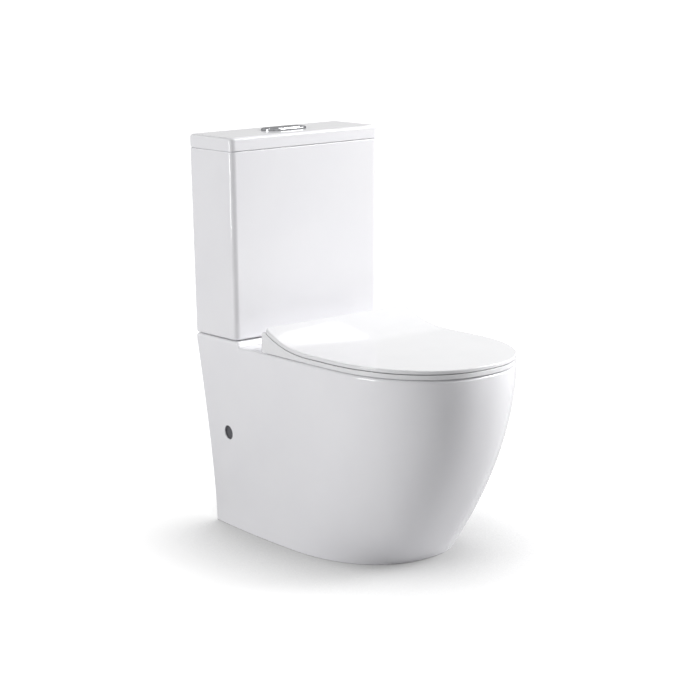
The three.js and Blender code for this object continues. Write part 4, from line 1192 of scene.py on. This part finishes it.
def softbox(name, azimuth, elevation, distance, width, height, radiance):
    """An area light round the object, aimed at its middle. Azimuth 0 is in front, 90 on the right."""
    a, e = math.radians(azimuth), math.radians(elevation)
    aim = Vector((0, 0, 0.4))
    place = Vector((math.sin(a) * math.cos(e), -math.cos(a) * math.cos(e), math.sin(e))) * distance + aim
    data = bpy.data.lights.new(name, "AREA")
    data.shape = "RECTANGLE"
    data.size, data.size_y = width, height
    data.energy = radiance * math.pi * width * height
    light = bpy.data.objects.new(name, data)
    light.location = place
    light.rotation_euler = (place - aim).to_track_quat("Z", "Y").to_euler()
    scene.collection.objects.link(light)


def build_world():
    """White to the eye, and for light and reflections a room that is dimmer at the horizon."""
    world = bpy.data.worlds.new("studio")
    scene.world = world
    world.use_nodes = True
    tree = world.node_tree
    background = tree.nodes["Background"]
    background.inputs["Color"].default_value = (1, 1, 1, 1)
    place = tree.nodes.new("ShaderNodeTexCoord").outputs["Generated"]
    split = tree.nodes.new("ShaderNodeSeparateXYZ")
    tree.links.new(place, split.inputs["Vector"])
    rise = tree.nodes.new("ShaderNodeMapRange")
    rise.inputs["From Min"].default_value = 0.05
    rise.inputs["From Max"].default_value = 0.3
    rise.inputs["To Min"].default_value = ROOM_LOW
    rise.inputs["To Max"].default_value = ROOM_HIGH
    tree.links.new(split.outputs["Z"], rise.inputs["Value"])
    path = tree.nodes.new("ShaderNodeLightPath")

    def choose(condition, result, otherwise):
        pick = tree.nodes.new("ShaderNodeMapRange")
        tree.links.new(path.outputs[condition], pick.inputs["Value"])
        for value, socket in ((otherwise, "To Min"), (result, "To Max")):
            if isinstance(value, float):
                pick.inputs[socket].default_value = value
            else:
                tree.links.new(value, pick.inputs[socket])
        return pick.outputs["Result"]

    reflected = choose("Is Diffuse Ray", ROOM_FILL, rise.outputs["Result"])
    tree.links.new(choose("Is Camera Ray", 1.1, reflected), background.inputs["Strength"])


CAMERA_TURN = (-39.41, 11.8, -0.86)  # azimuth, elevation and roll in degrees
CAMERA_AIM = (-0.0473, 0.010, 0.4049)
CAMERA_AWAY = 3.9613
CAMERA_LENS = 101.84  # millimetres, on a sensor 36 wide


def build_camera():
    azimuth, elevation, roll = (math.radians(v) for v in CAMERA_TURN)
    back = Vector((
        math.sin(azimuth) * math.cos(elevation),
        -math.cos(azimuth) * math.cos(elevation),
        math.sin(elevation),
    ))
    right = Vector((math.cos(azimuth), math.sin(azimuth), 0))
    up = back.cross(right)
    level = right * math.cos(roll) + up * math.sin(roll)
    upright = up * math.cos(roll) - right * math.sin(roll)
    data = bpy.data.cameras.new("camera")
    data.lens = CAMERA_LENS
    data.sensor_width = 36
    data.clip_start = 0.05
    data.clip_end = 100
    camera = bpy.data.objects.new("camera", data)
    turn = Matrix((level, upright, back)).transposed().to_4x4()
    turn.translation = Vector(CAMERA_AIM) + back * CAMERA_AWAY
    camera.matrix_world = turn
    scene.collection.objects.link(camera)
    scene.camera = camera


build_camera()
build_stage()
build_world()
softbox("key", 57, 34, 3.6, 1.4, 1.8, 20.6)
softbox("left", -105, 12, 3.2, 0.9, 2.0, 9.8)
scene.view_settings.view_transform = "Standard"

build_pan()
for plug_side in (-1, 1):
    build_side_plug(plug_side)
build_tank()
build_lid()
build_cover()
build_ring()
build_button()
dress_nodes()
